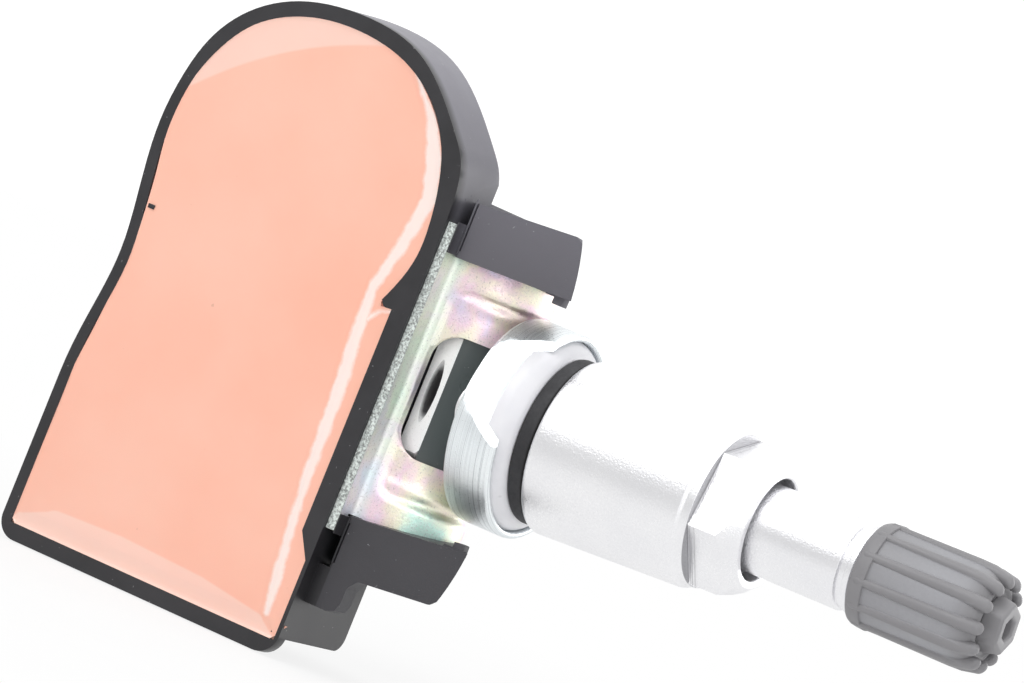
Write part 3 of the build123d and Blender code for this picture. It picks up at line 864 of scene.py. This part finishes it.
def dress(piece: Piece, material: Finish) -> None:
    """Give a piece one material all over."""
    piece.data.materials.clear()
    piece.data.materials.append(material)


def place(piece: Piece, material: Finish, body: str, slot: str, *stands_for: str) -> None:
    """Give a finished piece its material and hand it to the frame.

    Args:
        piece: The piece.
        material: Its material all over.
        body: The body it rides on.
        slot: Not used.
        *stands_for: Nodes it stands for.
    """
    dress(piece, material)
    deselect()
    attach(piece, body)
    if stands_for:
        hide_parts(*stands_for)
    LOG.info("%s rides on %s with %d faces", piece.name, body, len(piece.data.polygons))


def dress_nodes(material: Finish, *names: str) -> None:
    """Give nodes of the frame one material all over.

    Args:
        material: The material.
        *names: The nodes, which keep their solids.
    """
    for name in names:
        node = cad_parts[name]
        if not node.data.materials:
            node.data.materials.append(material)
        for index in range(len(node.material_slots)):
            node.material_slots[index].material = material
        LOG.info("%s keeps its solid", name)


@dataclass
class Studio:
    """Camera, floor, world and soft lamps."""

    eye: Point = (172.9, -375.5, 9.0)
    right: Point = (0.8332, 0.4062, 0.3752)
    up: Point = (-0.3399, -0.1589, 0.9269)
    back: Point = (0.4362, -0.8999, 0.0057)
    focal_px: float = 4761.0
    frame_px: float = 1024.0
    sensor: float = 36.0
    floor_z: float = -26.6
    aim: Point = (-10, 0, 0)
    lamps: tuple[tuple[str, Point, float, float], ...] = (
        ("key_lamp", (-150, -420, 420), 420, 1.65),
        ("fill_lamp", (420, -260, 160), 380, 0.6),
        ("top_lamp", (60, 120, 480), 420, 0.8),
        ("side_lamp", (330, 620, 120), 420, 1.1),
    )

    def camera(self) -> None:
        """Add the scene's camera, at the photograph's angle."""
        data = bpy.data.cameras.new("camera")
        data.sensor_width = self.sensor
        data.lens = self.focal_px / self.frame_px * self.sensor
        data.clip_start = 0.01
        data.clip_end = 20.0
        camera = bpy.data.objects.new("camera", data)
        bpy.context.scene.collection.objects.link(camera)
        turn = Matrix((self.right, self.up, self.back)).transposed().to_quaternion().to_matrix().to_4x4()
        camera.matrix_world = Matrix.Translation(Vector(self.eye) * MM) @ turn
        bpy.context.scene.camera = camera

    def lamp(self, name: str, place_mm: Point, size_mm: float, power: float) -> None:
        """Add a soft square lamp.

        Args:
            name: The lamp's name.
            place_mm: Where it hangs.
            size_mm: Its side.
            power: Watts.
        """
        data = bpy.data.lights.new(name, "AREA")
        data.size = size_mm * MM
        data.energy = power
        lamp = bpy.data.objects.new(name, data)
        bpy.context.scene.collection.objects.link(lamp)
        lamp.location = Vector(place_mm) * MM
        lamp.rotation_euler = (Vector(self.aim) - Vector(place_mm)).to_track_quat("-Z", "Y").to_euler()

    def world(self) -> None:
        """Soft white surroundings that look white to the camera and in reflections."""
        n = Nodes("studio_world", world=True)
        bpy.context.scene.world = n.owner
        rays = n.add("LightPath").outputs
        sides = n.add("SeparateXYZ", {0: n.coords.outputs["Generated"]}).outputs
        glow = seen = rays["Is Camera Ray"]
        for axis, low, high in (("Z", 0.2, 0.25), ("Y", -0.35, -0.2)):
            glow = n.most(n.span(sides[axis], low, high, (0.74, 1.12)), glow)
        for ray in ("Is Glossy Ray", "Is Transmission Ray"):
            seen = n.most(seen, rays[ray])
        plain = n.add("Background", {"Color": WHITE, "Strength": 0.45})
        white = n.add("Background", {"Color": WHITE, "Strength": glow})
        n.either(seen, plain.outputs[0], white.outputs[0])

    def floor(self) -> None:
        """A plain pale floor that looks white and keeps a soft shadow."""
        deselect()
        bpy.ops.mesh.primitive_plane_add(size=3.0, location=(0, 0, self.floor_z * MM))
        floor = bpy.context.object
        floor.name = "floor"
        n = Nodes("pale_floor")
        rays = n.add("LightPath").outputs
        glossy = rays["Is Glossy Ray"]
        pale = n.ramp(n.noise(60, 2, 0.55), ((0.3, (0.86, 0.86, 0.86)), (0.7, (0.9, 0.9, 0.9))))
        direct = n.times(rays["Is Camera Ray"], n.span(n.away((1, 1, 0)), 50, 150, (0.84, 1.0)))
        mirrored = n.times(n.most(glossy, rays["Is Transmission Ray"]), 0.95)
        front = n.across("Y", -70, -78, (0.0, 0.27))
        strength = n.math("SUBTRACT", 1.0, n.times(glossy, front))
        diffuse = n.add("BsdfDiffuse", {"Color": pale})
        glow = n.add("Emission", {"Color": WHITE, "Strength": strength})
        n.either(n.most(direct, mirrored), diffuse.outputs["BSDF"], glow.outputs["Emission"])
        dress(floor, n.owner)

    def build(self) -> None:
        """Set up the whole studio."""
        bpy.context.scene.view_settings.view_transform = "Standard"
        self.camera()
        self.world()
        self.floor()
        for lamp in self.lamps:
            self.lamp(*lamp)
        LOG.info("studio is set")


@dataclass(frozen=True)
class Palette:
    """The finishes that several pieces share."""

    black: Finish
    slider: Finish
    potting: Finish
    zinc: Finish
    aluminium: Finish
    steel: Finish
    brass: Finish
    grey: Finish
    washer: Finish
    rubber: Finish
    board: Finish
    ceramic: Finish

    @classmethod
    def mixed(cls) -> Palette:
        """Returns: Every finish, built once."""
        grey_black = (0.068, 0.082, 0.082)
        steel = Turned(
            name="turned_steel",
            colour=(0.92, 0.96, 0.97),
            dark=(0.76, 0.82, 0.86),
            marks=12000.0,
            depth=0.00006,
            streaks=0.75,
            metal=0.8,
        )
        washer = MouldedGrey(name="washer_plastic", colour=(0.8, 0.8, 0.84), roughness=0.36, speckle=0.02)
        return cls(
            black=BlackPlastic().build(),
            slider=BlackPlastic(name="slider_plastic", colour=grey_black, roughness=0.3, arms_from=50.0).build(),
            potting=Potting().build(),
            zinc=ZincPlate().build(),
            aluminium=Turned(head_x=-10.9, sparkle=0.6, shoulder_x=15.7).build(),
            steel=steel.build(),
            brass=Turned(name="turned_brass", colour=(0.75, 0.55, 0.25), dark=(0.6, 0.42, 0.18)).build(),
            grey=MouldedGrey(colour=(0.305, 0.306, 0.326), raised=4.4, boss_x=39.4).build(),
            washer=washer.build(),
            rubber=Rubber().build(),
            board=PaintedBoard().build(),
            ceramic=MouldedGrey(name="capacitor_ceramic", colour=(0.4, 0.3, 0.2)).build(),
        )


@dataclass
class SensorUnit:
    """Black housing, salmon potting and the electronics under it."""

    palette: Palette
    rounding: float = 0.22
    trims: tuple[tuple[Pair, ...], ...] = (
        ((-5.0, -2.0), (-7.3, -4.9), (10.2, 11.0)),
        ((-5.0, -3.55), (-7.3, -4.9), (10.9, 11.6)),
        ((-5.0, -2.0), (-7.3, -4.9), (-11.1, -10.2)),
        ((-5.0, -3.55), (-7.3, -4.9), (-11.58, -10.9)),
        ((-14.5, -9.0), (-5.6, -3.0), (-21.3, -17.12)),
        ((-43.1, -42.2), (-9.6, -7.9), (4.9, 5.5)),
        ((-43.1, -42.2), (-9.6, -7.9), (5.9, 6.5)),
        ((-13.34, -13.22), (-8.0, -7.4), (12.2, 16.9)),
        ((-13.34, -13.22), (-8.0, -7.4), (-16.9, -13.2)),
    )
    hooks: Pair = (10.2, -12.3)
    hook_height: float = 2.1
    arm_end: float = 17.0
    tip_x: float = -2.8
    tip_y: float = -7.7
    beyond_arm: tuple[Pair, ...] = ((-1.87, -7.2), (-1.0, -7.2), (-1.0, -4.9), (-3.196, -4.9))
    tooth: tuple[Point, ...] = ((-17.75, -9.6, 5.29), (-16.4, -9.6, 5.31), (-16.4, -9.6, 3.9))
    fill_section: tuple[Pair, ...] = (
        (-13.82, -9.0), (-13.7, -9.0), (-13.42, -7.6), (-13.42, -6.6), (-13.82, -6.6),
    )
    fills: tuple[Pair, ...] = ((11.7, 14.5), (-14.5, -12.7))
    ridges: tuple[Pair, ...] = ((11.9, 17.0), (-17.0, -12.8))
    surface_y: float = -9.22
    climb: float = 0.18
    rings: tuple[Pair, ...] = ((0.1, 0.09), (0.16, 0.07), (0.25, 0.05), (0.4, 0.04), (0.6, 0.02))
    rim_points: tuple[Pair, ...] = (
        (-43.85, -24.1), (-43.85, -18.0), (-43.85, -11.0), (-43.3, -5.6), (-42.75, 1.0), (-43.2, 7.2), (-43.92, 12.6),
        (-43.55, 17.2), (-42.2, 21.0), (-39.9, 23.9), (-36.7, 25.9), (-33.2, 26.75), (-28.8, 26.8), (-23.6, 25.5),
        (-19.6, 22.4), (-17.0, 18.2), (-15.95, 13.0), (-16.35, 8.7), (-17.62, 5.6),
    )
    corners: tuple[Pair, ...] = (
        (-17.5, 5.25), (-16.35, 5.3), (-16.35, -15.3), (-15.0, -17.6), (-15.0, -24.6), (-15.4, -25.0),
        (-43.4, -25.0), (-43.85, -24.6),
    )

    def at_tip(self, at: Vector, way: Vector) -> bool:
        """Whether an edge lies at the slanted tip of an arm.

        Args:
            at: Its middle in millimetres.
            way: Its direction, which doesn't matter.

        Returns:
            True at either arm.
        """
        slant = self.tip_x - math.tan(math.radians(30)) * (at.y - self.tip_y)
        return abs(abs(at.z) - self.arm_end) < 0.15 and abs(at.x - slant) < 0.2

    def strip(self, name: str, limits: Pair, section: Sequence[Pair]) -> Piece:
        """A bar along Z.

        Args:
            name: Its name.
            limits: Where it starts and ends, in millimetres.
            section: Its outline (x, y).

        Returns:
            The bar.
        """
        low, high = limits
        return plate(name, [(x, y, low) for x, y in section], (0, 0, high - low))

    def housing(self) -> None:
        """The moulded housing with soft edges."""
        piece = node_copy("housing", "housing_shell")
        for x, y, z in self.trims:
            combine(piece, block("trim_cutter", x, y, z))
        for low in self.hooks:
            combine(piece, self.strip("hook_cutter", (low, low + self.hook_height), self.beyond_arm))
        combine(piece, plate("tooth_cutter", self.tooth, (0, 0.42, 0)))
        activate(piece)
        pick(piece, Part.EDGES, self.at_tip)
        bpy.ops.mesh.bevel(offset=0.5 * MM, segments=4, affect="EDGES")
        leave_edit()
        round_edges(piece, self.rounding, 32)
        added = [self.strip("groove_fill", limits, self.fill_section) for limits in self.fills]
        added += [block("arm_ridge", (-13.5, -13.34), (-7.84, -7.6), limits) for limits in self.ridges]
        for bar in added:
            round_edges(bar, 0.06, 30)
        join(piece, *added)
        smooth(piece, 32)
        place(piece, self.palette.black, "sensor", "black_plastic", "housing")

    def wall_line(self) -> list[Point]:
        """Returns: The line where the potting meets the walls, in millimetres."""
        line = []
        count = len(self.rim_points)
        for i in range(count - 1):
            a, b, c, d = (Vector(self.rim_points[min(max(k, 0), count - 1)]) for k in (i - 1, i, i + 1, i + 2))
            for k in range(5):
                t = k / 5
                spot = 0.5 * (2 * b + (c - a) * t + (2 * a - 5 * b + 4 * c - d) * t**2 + (3 * b - a - 3 * c + d) * t**3)
                line.append(spot)
        line += [Vector(self.rim_points[-1]), *(Vector(corner) for corner in self.corners)]
        return [(spot.x, self.surface_y + self.climb, spot.y) for spot in line]

    def potting(self) -> None:
        """The potting keeps its solid under a skin that creeps up the walls."""
        skin = trace("potting_skin", self.wall_line())
        bpy.ops.mesh.edge_face_add()
        extrude((0, -self.climb - sum(depth for _, depth in self.rings), 0))
        bpy.ops.mesh.select_all(action="SELECT")
        bpy.ops.mesh.normals_make_consistent(inside=False)
        leave_edit()
        front = min(vert.co.y for vert in skin.data.vertices) / MM
        pick(skin, Part.FACES, lambda at, way: at.y < front + 0.01)
        for width, depth in self.rings:
            bpy.ops.mesh.inset(thickness=width * MM, depth=-depth * MM, use_even_offset=True)
        leave_edit()
        smooth(skin, 40)
        place(skin, self.palette.potting, "sensor", "potting")
        dress_nodes(self.palette.potting, "potting_compound")

    def electronics(self) -> None:
        """The pieces inside keep their solids and get their finishes."""
        looks = self.palette
        dress_nodes(looks.steel, "battery", "battery_front_tab", "battery_side_tab", "timing_crystal")
        dress_nodes(looks.board, "circuit_board")
        dress_nodes(looks.black, "pressure_sensor_chip", "radio_chip")
        dress_nodes(looks.ceramic, "capacitors")
        dress_nodes(looks.brass, "wake_coil", "antenna")

    def build(self) -> None:
        """Build the whole unit."""
        self.housing()
        self.potting()
        self.electronics()


@dataclass
class Bracket:
    """Plated sheet with a slotted arch that is pressed in round the slot."""

    palette: Palette
    pivot: float = -13.9
    radius: float = 6.8
    sheet: float = 0.8
    flange_x: float = -13.8
    flange_y: float = 9.1
    flange_half: float = 14.25
    arch_top: float = 11.7
    arch_low: float = -12.5
    bend: float = 0.75
    pressed: float = 0.48
    pressed_top: float = 9.5
    pressed_low: float = -10.3

    def outline(self) -> list[Point]:
        """Returns: The sheet's outer line from the front flange round the arch to the back one."""
        centre_x, centre_y = self.flange_x + self.bend, -self.radius - self.bend
        half = [(self.flange_x, -self.flange_y, 0.0), (self.flange_x, -8.3, 0.0)]
        for turn in range(0, 91, 15):
            angle = math.radians(180 - turn)
            half.append((centre_x + self.bend * math.cos(angle), centre_y + self.bend * math.sin(angle), 0.0))
        start = math.degrees(math.acos((centre_x - self.pivot) / self.radius))
        steps = 26
        for i in range(1, steps + 1):
            angle = math.radians(start * (1 - i / steps))
            half.append((self.pivot + self.radius * math.cos(angle), -self.radius * math.sin(angle), 0.0))
        return half + [(x, -y, 0.0) for x, y, _ in reversed(half[:-1])]

    def press(self, at: Vector) -> float:
        """How far the outer face is pressed in at a place.

        Args:
            at: The place in millimetres.

        Returns:
            The depth in millimetres.
        """
        along = self.radius * math.atan2(abs(at.y), at.x - self.pivot)
        corner = 2.0
        side = along - (self.radius * math.radians(83) - corner)
        half, step, crest = (self.pressed_top, 0.35, 8.3) if at.z > 0 else (-self.pressed_low, 0.75, 8.8)
        high = abs(at.z) - (half - corner)
        inside = corner - math.hypot(max(side, 0.0), max(high, 0.0)) - min(max(side, high), 0.0)
        share = min(max(inside / step, 0.0), 1.0)
        ridge = math.exp(-(((abs(at.z) - crest) / 0.5) ** 2)) * 0.16 * share
        return self.pressed * share * share * (3 - 2 * share) - ridge

    def beyond_arch(self, at: Vector, way: Vector) -> bool:
        """Whether a face of the bent sheet lies above or below the arch.

        Args:
            at: Its middle in millimetres.
            way: Its direction, which doesn't matter.

        Returns:
            True where the sheet is cut away.
        """
        return not self.arch_low < at.z < self.arch_top and abs(at.y) < self.radius + 0.72

    def build(self) -> None:
        """Bend the sheet, press it, cut its slot and round its edges."""
        piece = trace("bracket_sheet", self.outline())
        bpy.ops.transform.translate(value=(0, 0, -self.flange_half * MM))
        levels = [-self.flange_half, self.arch_low]
        fine = 96
        levels += [self.arch_low + (self.arch_top - self.arch_low) * i / fine for i in range(1, fine + 1)]
        levels += [12.8, self.flange_half]
        for low, high in zip(levels, levels[1:]):
            extrude((0, 0, high - low))
        finish_mesh()
        pick(piece, Part.FACES, self.beyond_arch)
        bpy.ops.mesh.delete(type="FACE")
        leave_edit()
        outward = sum(face.normal.x for face in piece.data.polygons if abs(face.center.y) < 2 * MM)
        modify(piece, "SOLIDIFY", thickness=self.sheet * MM, offset=-1.0 if outward > 0 else 1.0)
        edit(piece)
        finish_mesh()
        for vert in piece.data.vertices:
            at = vert.co / MM
            reach = math.hypot(at.x - self.pivot, at.y)
            if reach > self.radius - 0.1 and at.x > self.flange_x + 0.3:
                inward = Vector((self.pivot - at.x, -at.y, 0.0)).normalized()
                vert.co += inward * self.press(at) * MM
        slot = plate("slot_cutter", self.slot_outline(), (0, 30, 0))
        combine(piece, slot)
        round_edges(piece, 0.12, 40)
        smooth(piece, 40)
        place(piece, self.palette.zinc, "sensor", "zinc_steel", "bracket")

    def slot_outline(self) -> list[Point]:
        """Returns: The slot's rounded outline in front of the arch."""
        left, right, low, top, corner = -12.95, 6.0, -6.05, 5.35, 2.4
        points = [(right, -15.0, top), (right, -15.0, low)]
        for middle_z, first in ((low + corner, 270), (top - corner, 180)):
            for turn in range(0, 91, 10):
                angle = math.radians(first - turn)
                points.append((left + corner + corner * math.cos(angle), -15.0, middle_z + corner * math.sin(angle)))
        return points


@dataclass
class Valve:
    """Stem with its flat head, the slider behind it, and the core inside."""

    palette: Palette
    head_back: float = -13.1
    head_front: float = -11.0
    head_r: float = 7.5
    head_flat: float = 5.1
    thread_r: float = 4.2
    stem_r: float = 4.0
    end: float = 38.6
    cap_start: float = 30.1
    bore: float = 1.5
    inlet: Pair = (3.2, 0.56)
    pivot: float = -13.9
    slider_r: float = 5.9
    slider_half: float = 8.0

    def stem(self) -> None:
        """Turned stem: its disc is cut to two flats, with a lens-shaped inlet in each."""
        back, front, r = self.head_back, self.head_front, self.stem_r
        start, end = self.cap_start, self.end
        profile = (
            (back, self.bore), (back, self.head_r - 0.3), (back + 0.3, self.head_r),
            (front - 0.3, self.head_r), (front, self.head_r - 0.3), (front, self.thread_r + 0.3),
            (front + 0.3, self.thread_r), (19.1, self.thread_r), (19.5, r), (start - 1.55, r),
            (start - 1.45, r - 0.06), (start - 1.35, r - 0.3), (start - 0.85, r - 0.3),
            (start - 0.75, r - 0.12), (start - 0.7, r - 0.1), (start - 0.25, r - 0.1),
            (start - 0.15, r - 0.2), (end - 0.5, r - 0.2), (end, r - 0.6),
            (end, 2.65), (34.2, 2.65), (34.2, 2.35), (31.2, 2.35), (30.7, 2.05),
            (25.0, 2.05), (24.0, self.bore),
        )
        piece = lathe("valve_body", profile)
        for side in (-1, 1):
            slice_off(piece, (0, side * self.head_flat, 0), (0, side, 0))
        for side in (-1, 1):
            combine(piece, self.lens_cutter(side))
        smooth(piece, 38)
        place(piece, self.palette.aluminium, "valve", "aluminium", "valve_stem")

    def lens_cutter(self, side: int) -> Piece:
        """A pointed slot that gets shorter as it goes in.

        Args:
            side: -1 for the front flat, 1 for the back one.

        Returns:
            The cutter.
        """
        middle = (self.head_back + self.head_front) / 2
        length, width = self.inlet
        steps = 12
        edge = []
        for i in range(2 * steps):
            share = i / steps * math.pi
            height = math.cos(share) * length
            bulge = width * math.sin(share) * abs(math.sin(share)) ** 0.25
            edge.append((middle + bulge, side * (self.head_flat + 0.4), height))
        piece = trace("lens_cutter", edge)
        bpy.ops.mesh.edge_face_add()
        extrude((0, -side * 3.6, 0))
        bpy.ops.transform.resize(value=(0.9, 1, 0.35), center_override=(middle * MM, 0, 0))
        bpy.ops.mesh.select_all(action="SELECT")
        bpy.ops.mesh.quads_convert_to_tris()
        finish_mesh()
        return piece

    def slider(self) -> None:
        """Half-moon slider that bears inside the arch."""
        pivot, r, steps = self.pivot, self.slider_r, 30
        reach = math.degrees(math.acos((self.head_front - pivot) / r))
        points = []
        for i in range(steps + 1):
            angle = math.radians(-reach + 2 * reach * i / steps)
            points.append((pivot + r * math.cos(angle), r * math.sin(angle), -self.slider_half))
        piece = plate("slider_block", points, (0, 0, 2 * self.slider_half))
        hole = lathe("slider_hole", ((-12, 0), (-12, 4.22), (-6, 4.22), (-6, 0)), 64)
        combine(piece, hole)
        round_edges(piece, 0.15, 30)
        smooth(piece, 35)
        place(piece, self.palette.slider, "valve", "black_plastic", "pivot_slider")

    def core(self) -> None:
        """The core's pieces keep their solids and get their finishes."""
        dress_nodes(self.palette.brass, "core_body", "core_pin")
        dress_nodes(self.palette.steel, "core_spring")
        dress_nodes(self.palette.rubber, "core_seal", "core_plug")

    def build(self) -> None:
        """Build the whole valve."""
        self.stem()
        self.slider()
        self.core()


@dataclass
class Saddle:
    """Turned ring with two slanting flats, its plastic washer and the rubber seal."""

    palette: Palette
    back: float = -7.08
    front: float = -2.35
    radius: float = 9.48
    recess_r: float = 8.88
    recess_d: float = 1.55
    bore: float = 4.22
    flat_turn: float = 22.0
    flat_in: float = 2.03
    flat_rise: float = 0.37
    seal_r: float = 7.62
    seal_back: float = -1.6
    neck_r: float = 5.6

    def cut_flats(self, piece: Piece) -> None:
        """Cut both flats of the ring."""
        lean = math.radians(self.flat_turn)
        for side in (-1, 1):
            out = Vector((self.flat_rise, side * math.cos(lean), -side * math.sin(lean)))
            reach = self.radius - self.flat_in
            at = (self.front, side * math.cos(lean) * reach, -side * math.sin(lean) * reach)
            slice_off(piece, at, tuple(out.normalized()))

    def ring(self) -> None:
        """The ring, whose slender lip opens into a window at each flat."""
        floor = self.front - self.recess_d
        profile = (
            (self.back, self.bore), (self.back, self.radius - 0.35), (self.back + 0.1, self.radius - 0.1),
            (self.back + 0.35, self.radius), (self.front - 0.45, self.radius), (self.front - 0.2, self.radius - 0.06),
            (self.front - 0.05, self.radius - 0.2), (self.front, self.radius - 0.38),
            (self.front - 0.05, self.radius - 0.53), (self.front - 0.15, self.recess_r),
            (floor, self.recess_r), (floor, self.bore),
        )
        piece = lathe("ring_body", profile, 180)
        self.cut_flats(piece)
        round_edges(piece, 0.05, 32)
        smooth(piece, 35, flats=False)
        place(piece, self.palette.steel, "valve", "zinc_steel", "saddle_ring")

    def washer(self) -> None:
        """The pale washer, bulging out of the recess towards the seal."""
        floor = self.front - self.recess_d
        profile = (
            (floor, self.bore), (floor, self.recess_r - 0.02), (self.front - 0.85, self.recess_r - 0.02),
            (self.front - 0.6, self.recess_r - 0.08), (self.front - 0.35, self.recess_r - 0.2),
            (self.front - 0.1, self.recess_r - 0.38), (self.front + 0.12, self.recess_r - 0.6),
            (-1.95, 8.05), (-1.78, 7.8), (-1.68, 7.6), (-1.62, 7.4), (self.seal_back, self.bore),
        )
        piece = lathe("washer_disc", profile, 180)
        smooth(piece, 50)
        place(piece, self.palette.washer, "valve", "grey_plastic", "plastic_washer")

    def seal(self) -> None:
        """The rubber seal with its neck."""
        r, back, neck = self.seal_r, self.seal_back, self.neck_r
        profile = (
            (back, self.bore), (back, r - 0.15), (-1.54, r - 0.04), (-1.42, r), (-0.3, r), (-0.12, r - 0.05),
            (0.0, r - 0.2), (0.0, neck), (2.0, neck), (2.3, neck - 0.1), (2.4, neck - 0.4), (2.4, self.bore),
        )
        piece = lathe("seal_ring", profile)
        smooth(piece, 45)
        place(piece, self.palette.rubber, "valve", "rubber", "rubber_seal")

    def build(self) -> None:
        """Build the ring, washer and seal."""
        self.ring()
        self.washer()
        self.seal()


@dataclass
class SleeveNut:
    """Aluminium sleeve that ends in a hexagon with a turned chamfer."""

    palette: Palette
    end: float = 20.3
    across: float = 12.0
    phase: float = -17.0
    hex_start: float = 15.4
    bore: float = 4.26
    mouth: float = 4.62

    def sleeve(self) -> Piece:
        """Returns: The turned sleeve."""
        profile = (
            (0.0, 5.66), (0.0, 7.7), (0.04, 7.84), (0.12, 7.93), (0.25, 7.98), (0.4, 7.996), (0.7, 7.984),
            (1.2, 7.964), (13.8, 7.44), (14.2, 7.424), (14.5, 7.4), (14.68, 7.33), (14.76, 7.22), (14.84, 7.1),
            (14.98, 7.02), (15.15, 7.0), (15.64, 7.0), (15.7, 6.96), (15.7, 4.6), (15.3, self.bore),
            (3.6, self.bore), (2.5, 5.66),
        )
        return lathe("nut_sleeve", profile)

    def hexagon(self) -> Piece:
        """Returns: The hexagon, with both ends turned down."""
        reach = self.across / 2 / math.cos(math.radians(30))
        corners = hexagon(self.hex_start, reach, self.phase)
        piece = plate("nut_hexagon", corners, (self.end - self.hex_start, 0, 0))
        end, mouth = self.end, self.mouth
        outside = (
            (15.0, self.bore), (15.0, reach + 0.1), (18.35, reach + 0.1), (end - 0.3, 5.5), (end - 0.14, 5.38),
            (end - 0.1, 5.3), (end - 0.1, 4.8), (end - 0.2, 4.68), (end - 0.5, mouth), (17.6, mouth),
            (17.4, self.bore),
        )
        combine(piece, lathe("nut_turning", outside), "INTERSECT")
        round_edges(piece, 0.05, 25)
        return piece

    def build(self) -> None:
        """Build the sleeve and hexagon as one piece."""
        piece = self.sleeve()
        combine(piece, self.hexagon(), "UNION")
        clean(piece)
        smooth(piece, 32)
        place(piece, self.palette.aluminium, "nut", "aluminium", "sleeve_nut")


@dataclass
class DustCap:
    """Grey cap with twelve rounded ribs and a hexagonal boss in its end."""

    palette: Palette
    start: float = 30.1
    end: float = 43.3
    radius: float = 4.75
    valley: float = 4.38
    ribs: int = 12
    rib_r: float = 0.6
    slimmest: float = 0.7
    bend: float = 0.11
    boss_r: float = 2.7
    boss_phase: float = 20.0
    phase: float = 11.6
    inside: float = 3.86
    floor: float = 41.5
    bore_end: float = 39.7

    def body(self) -> Piece:
        """Returns: The turned body with its skirt."""
        s, e, v = self.start, self.end, self.valley
        profile = (
            (s, self.inside), (s, 4.36), (s + 0.06, 4.46), (s + 0.3, 4.58), (s + 0.8, 4.66), (s + 1.38, 4.7),
            (s + 1.42, 4.66), (s + 1.45, v + 0.1), (s + 1.6, v + 0.06), (e - 3.7, v), (e - 2.9, v - 0.1),
            (e - 2.3, v - 0.3), (e - 1.85, v - 0.6), (e - 1.6, v - 0.95), (e - 1.5, v - 1.2), (e - 1.55, v - 1.35),
            (self.floor + 0.1, v - 1.45), (self.floor, v - 1.6), (self.floor, 0.0), (self.bore_end, 0.0),
            (self.bore_end, self.inside),
        )
        return lathe("cap_body", profile)

    def rib(self) -> Piece:
        """Returns: One rib on the front side, bent inwards at its knob."""
        r, first, last = self.rib_r, self.start + 0.25, self.end - 0.8
        slim = self.slimmest * r
        profile = [(first, 0.0), (first + 0.1, 0.6 * slim), (first + 0.45, slim)]
        profile += [(first + 2 + i * (last - first - 4) / 6, slim + (r - slim) * i / 6) for i in range(7)]
        for turn in range(0, 91, 15):
            angle = math.radians(turn)
            profile.append((last - r + r * math.sin(angle), r * math.cos(angle)))
        piece = lathe("cap_rib", profile, 20)
        middle = self.radius - r
        for vert in piece.data.vertices:
            at = vert.co / MM
            bent = self.bend * max(0.0, at.x - (self.end - 3.8)) ** 2 / 2
            sunk = (1 - min(1.0, (at.x - first) / (last - first))) * (r - slim)
            vert.co.y -= (middle - (bent - sunk)) * MM
        return piece

    def boss(self) -> Piece:
        """Returns: The hollow hexagonal boss."""
        piece = trace("cap_boss", hexagon(self.floor - 0.1, self.boss_r, self.boss_phase))
        bpy.ops.mesh.edge_face_add()
        extrude((1.9, 0, 0))
        bpy.ops.transform.resize(value=(1, 0.86, 0.86), center_override=(0, 0, 0))
        bpy.ops.mesh.inset(thickness=1.1 * MM)
        extrude((-1.4, 0, 0))
        finish_mesh()
        round_edges(piece, 0.3, 30, 4)
        return piece

    def build(self) -> None:
        """Build the cap and dress its seal."""
        piece = self.body()
        rib = self.rib()
        copies = [twin(rib, f"cap_rib_{i}", self.phase + 360 / self.ribs * i) for i in range(self.ribs)]
        bpy.data.objects.remove(rib)
        join(piece, *copies, self.boss())
        smooth(piece, 40)
        place(piece, self.palette.grey, "cap", "grey_plastic", "dust_cap")
        dress_nodes(self.palette.rubber, "cap_seal")


def main() -> None:
    """Build the studio and every sub-assembly."""
    logging.basicConfig(level=logging.INFO, format="%(name)s: %(message)s")
    Studio().build()
    palette = Palette.mixed()
    for unit in (SensorUnit, Bracket, Valve, Saddle, SleeveNut, DustCap):
        unit(palette).build()


if __name__ == "__main__":
    main()
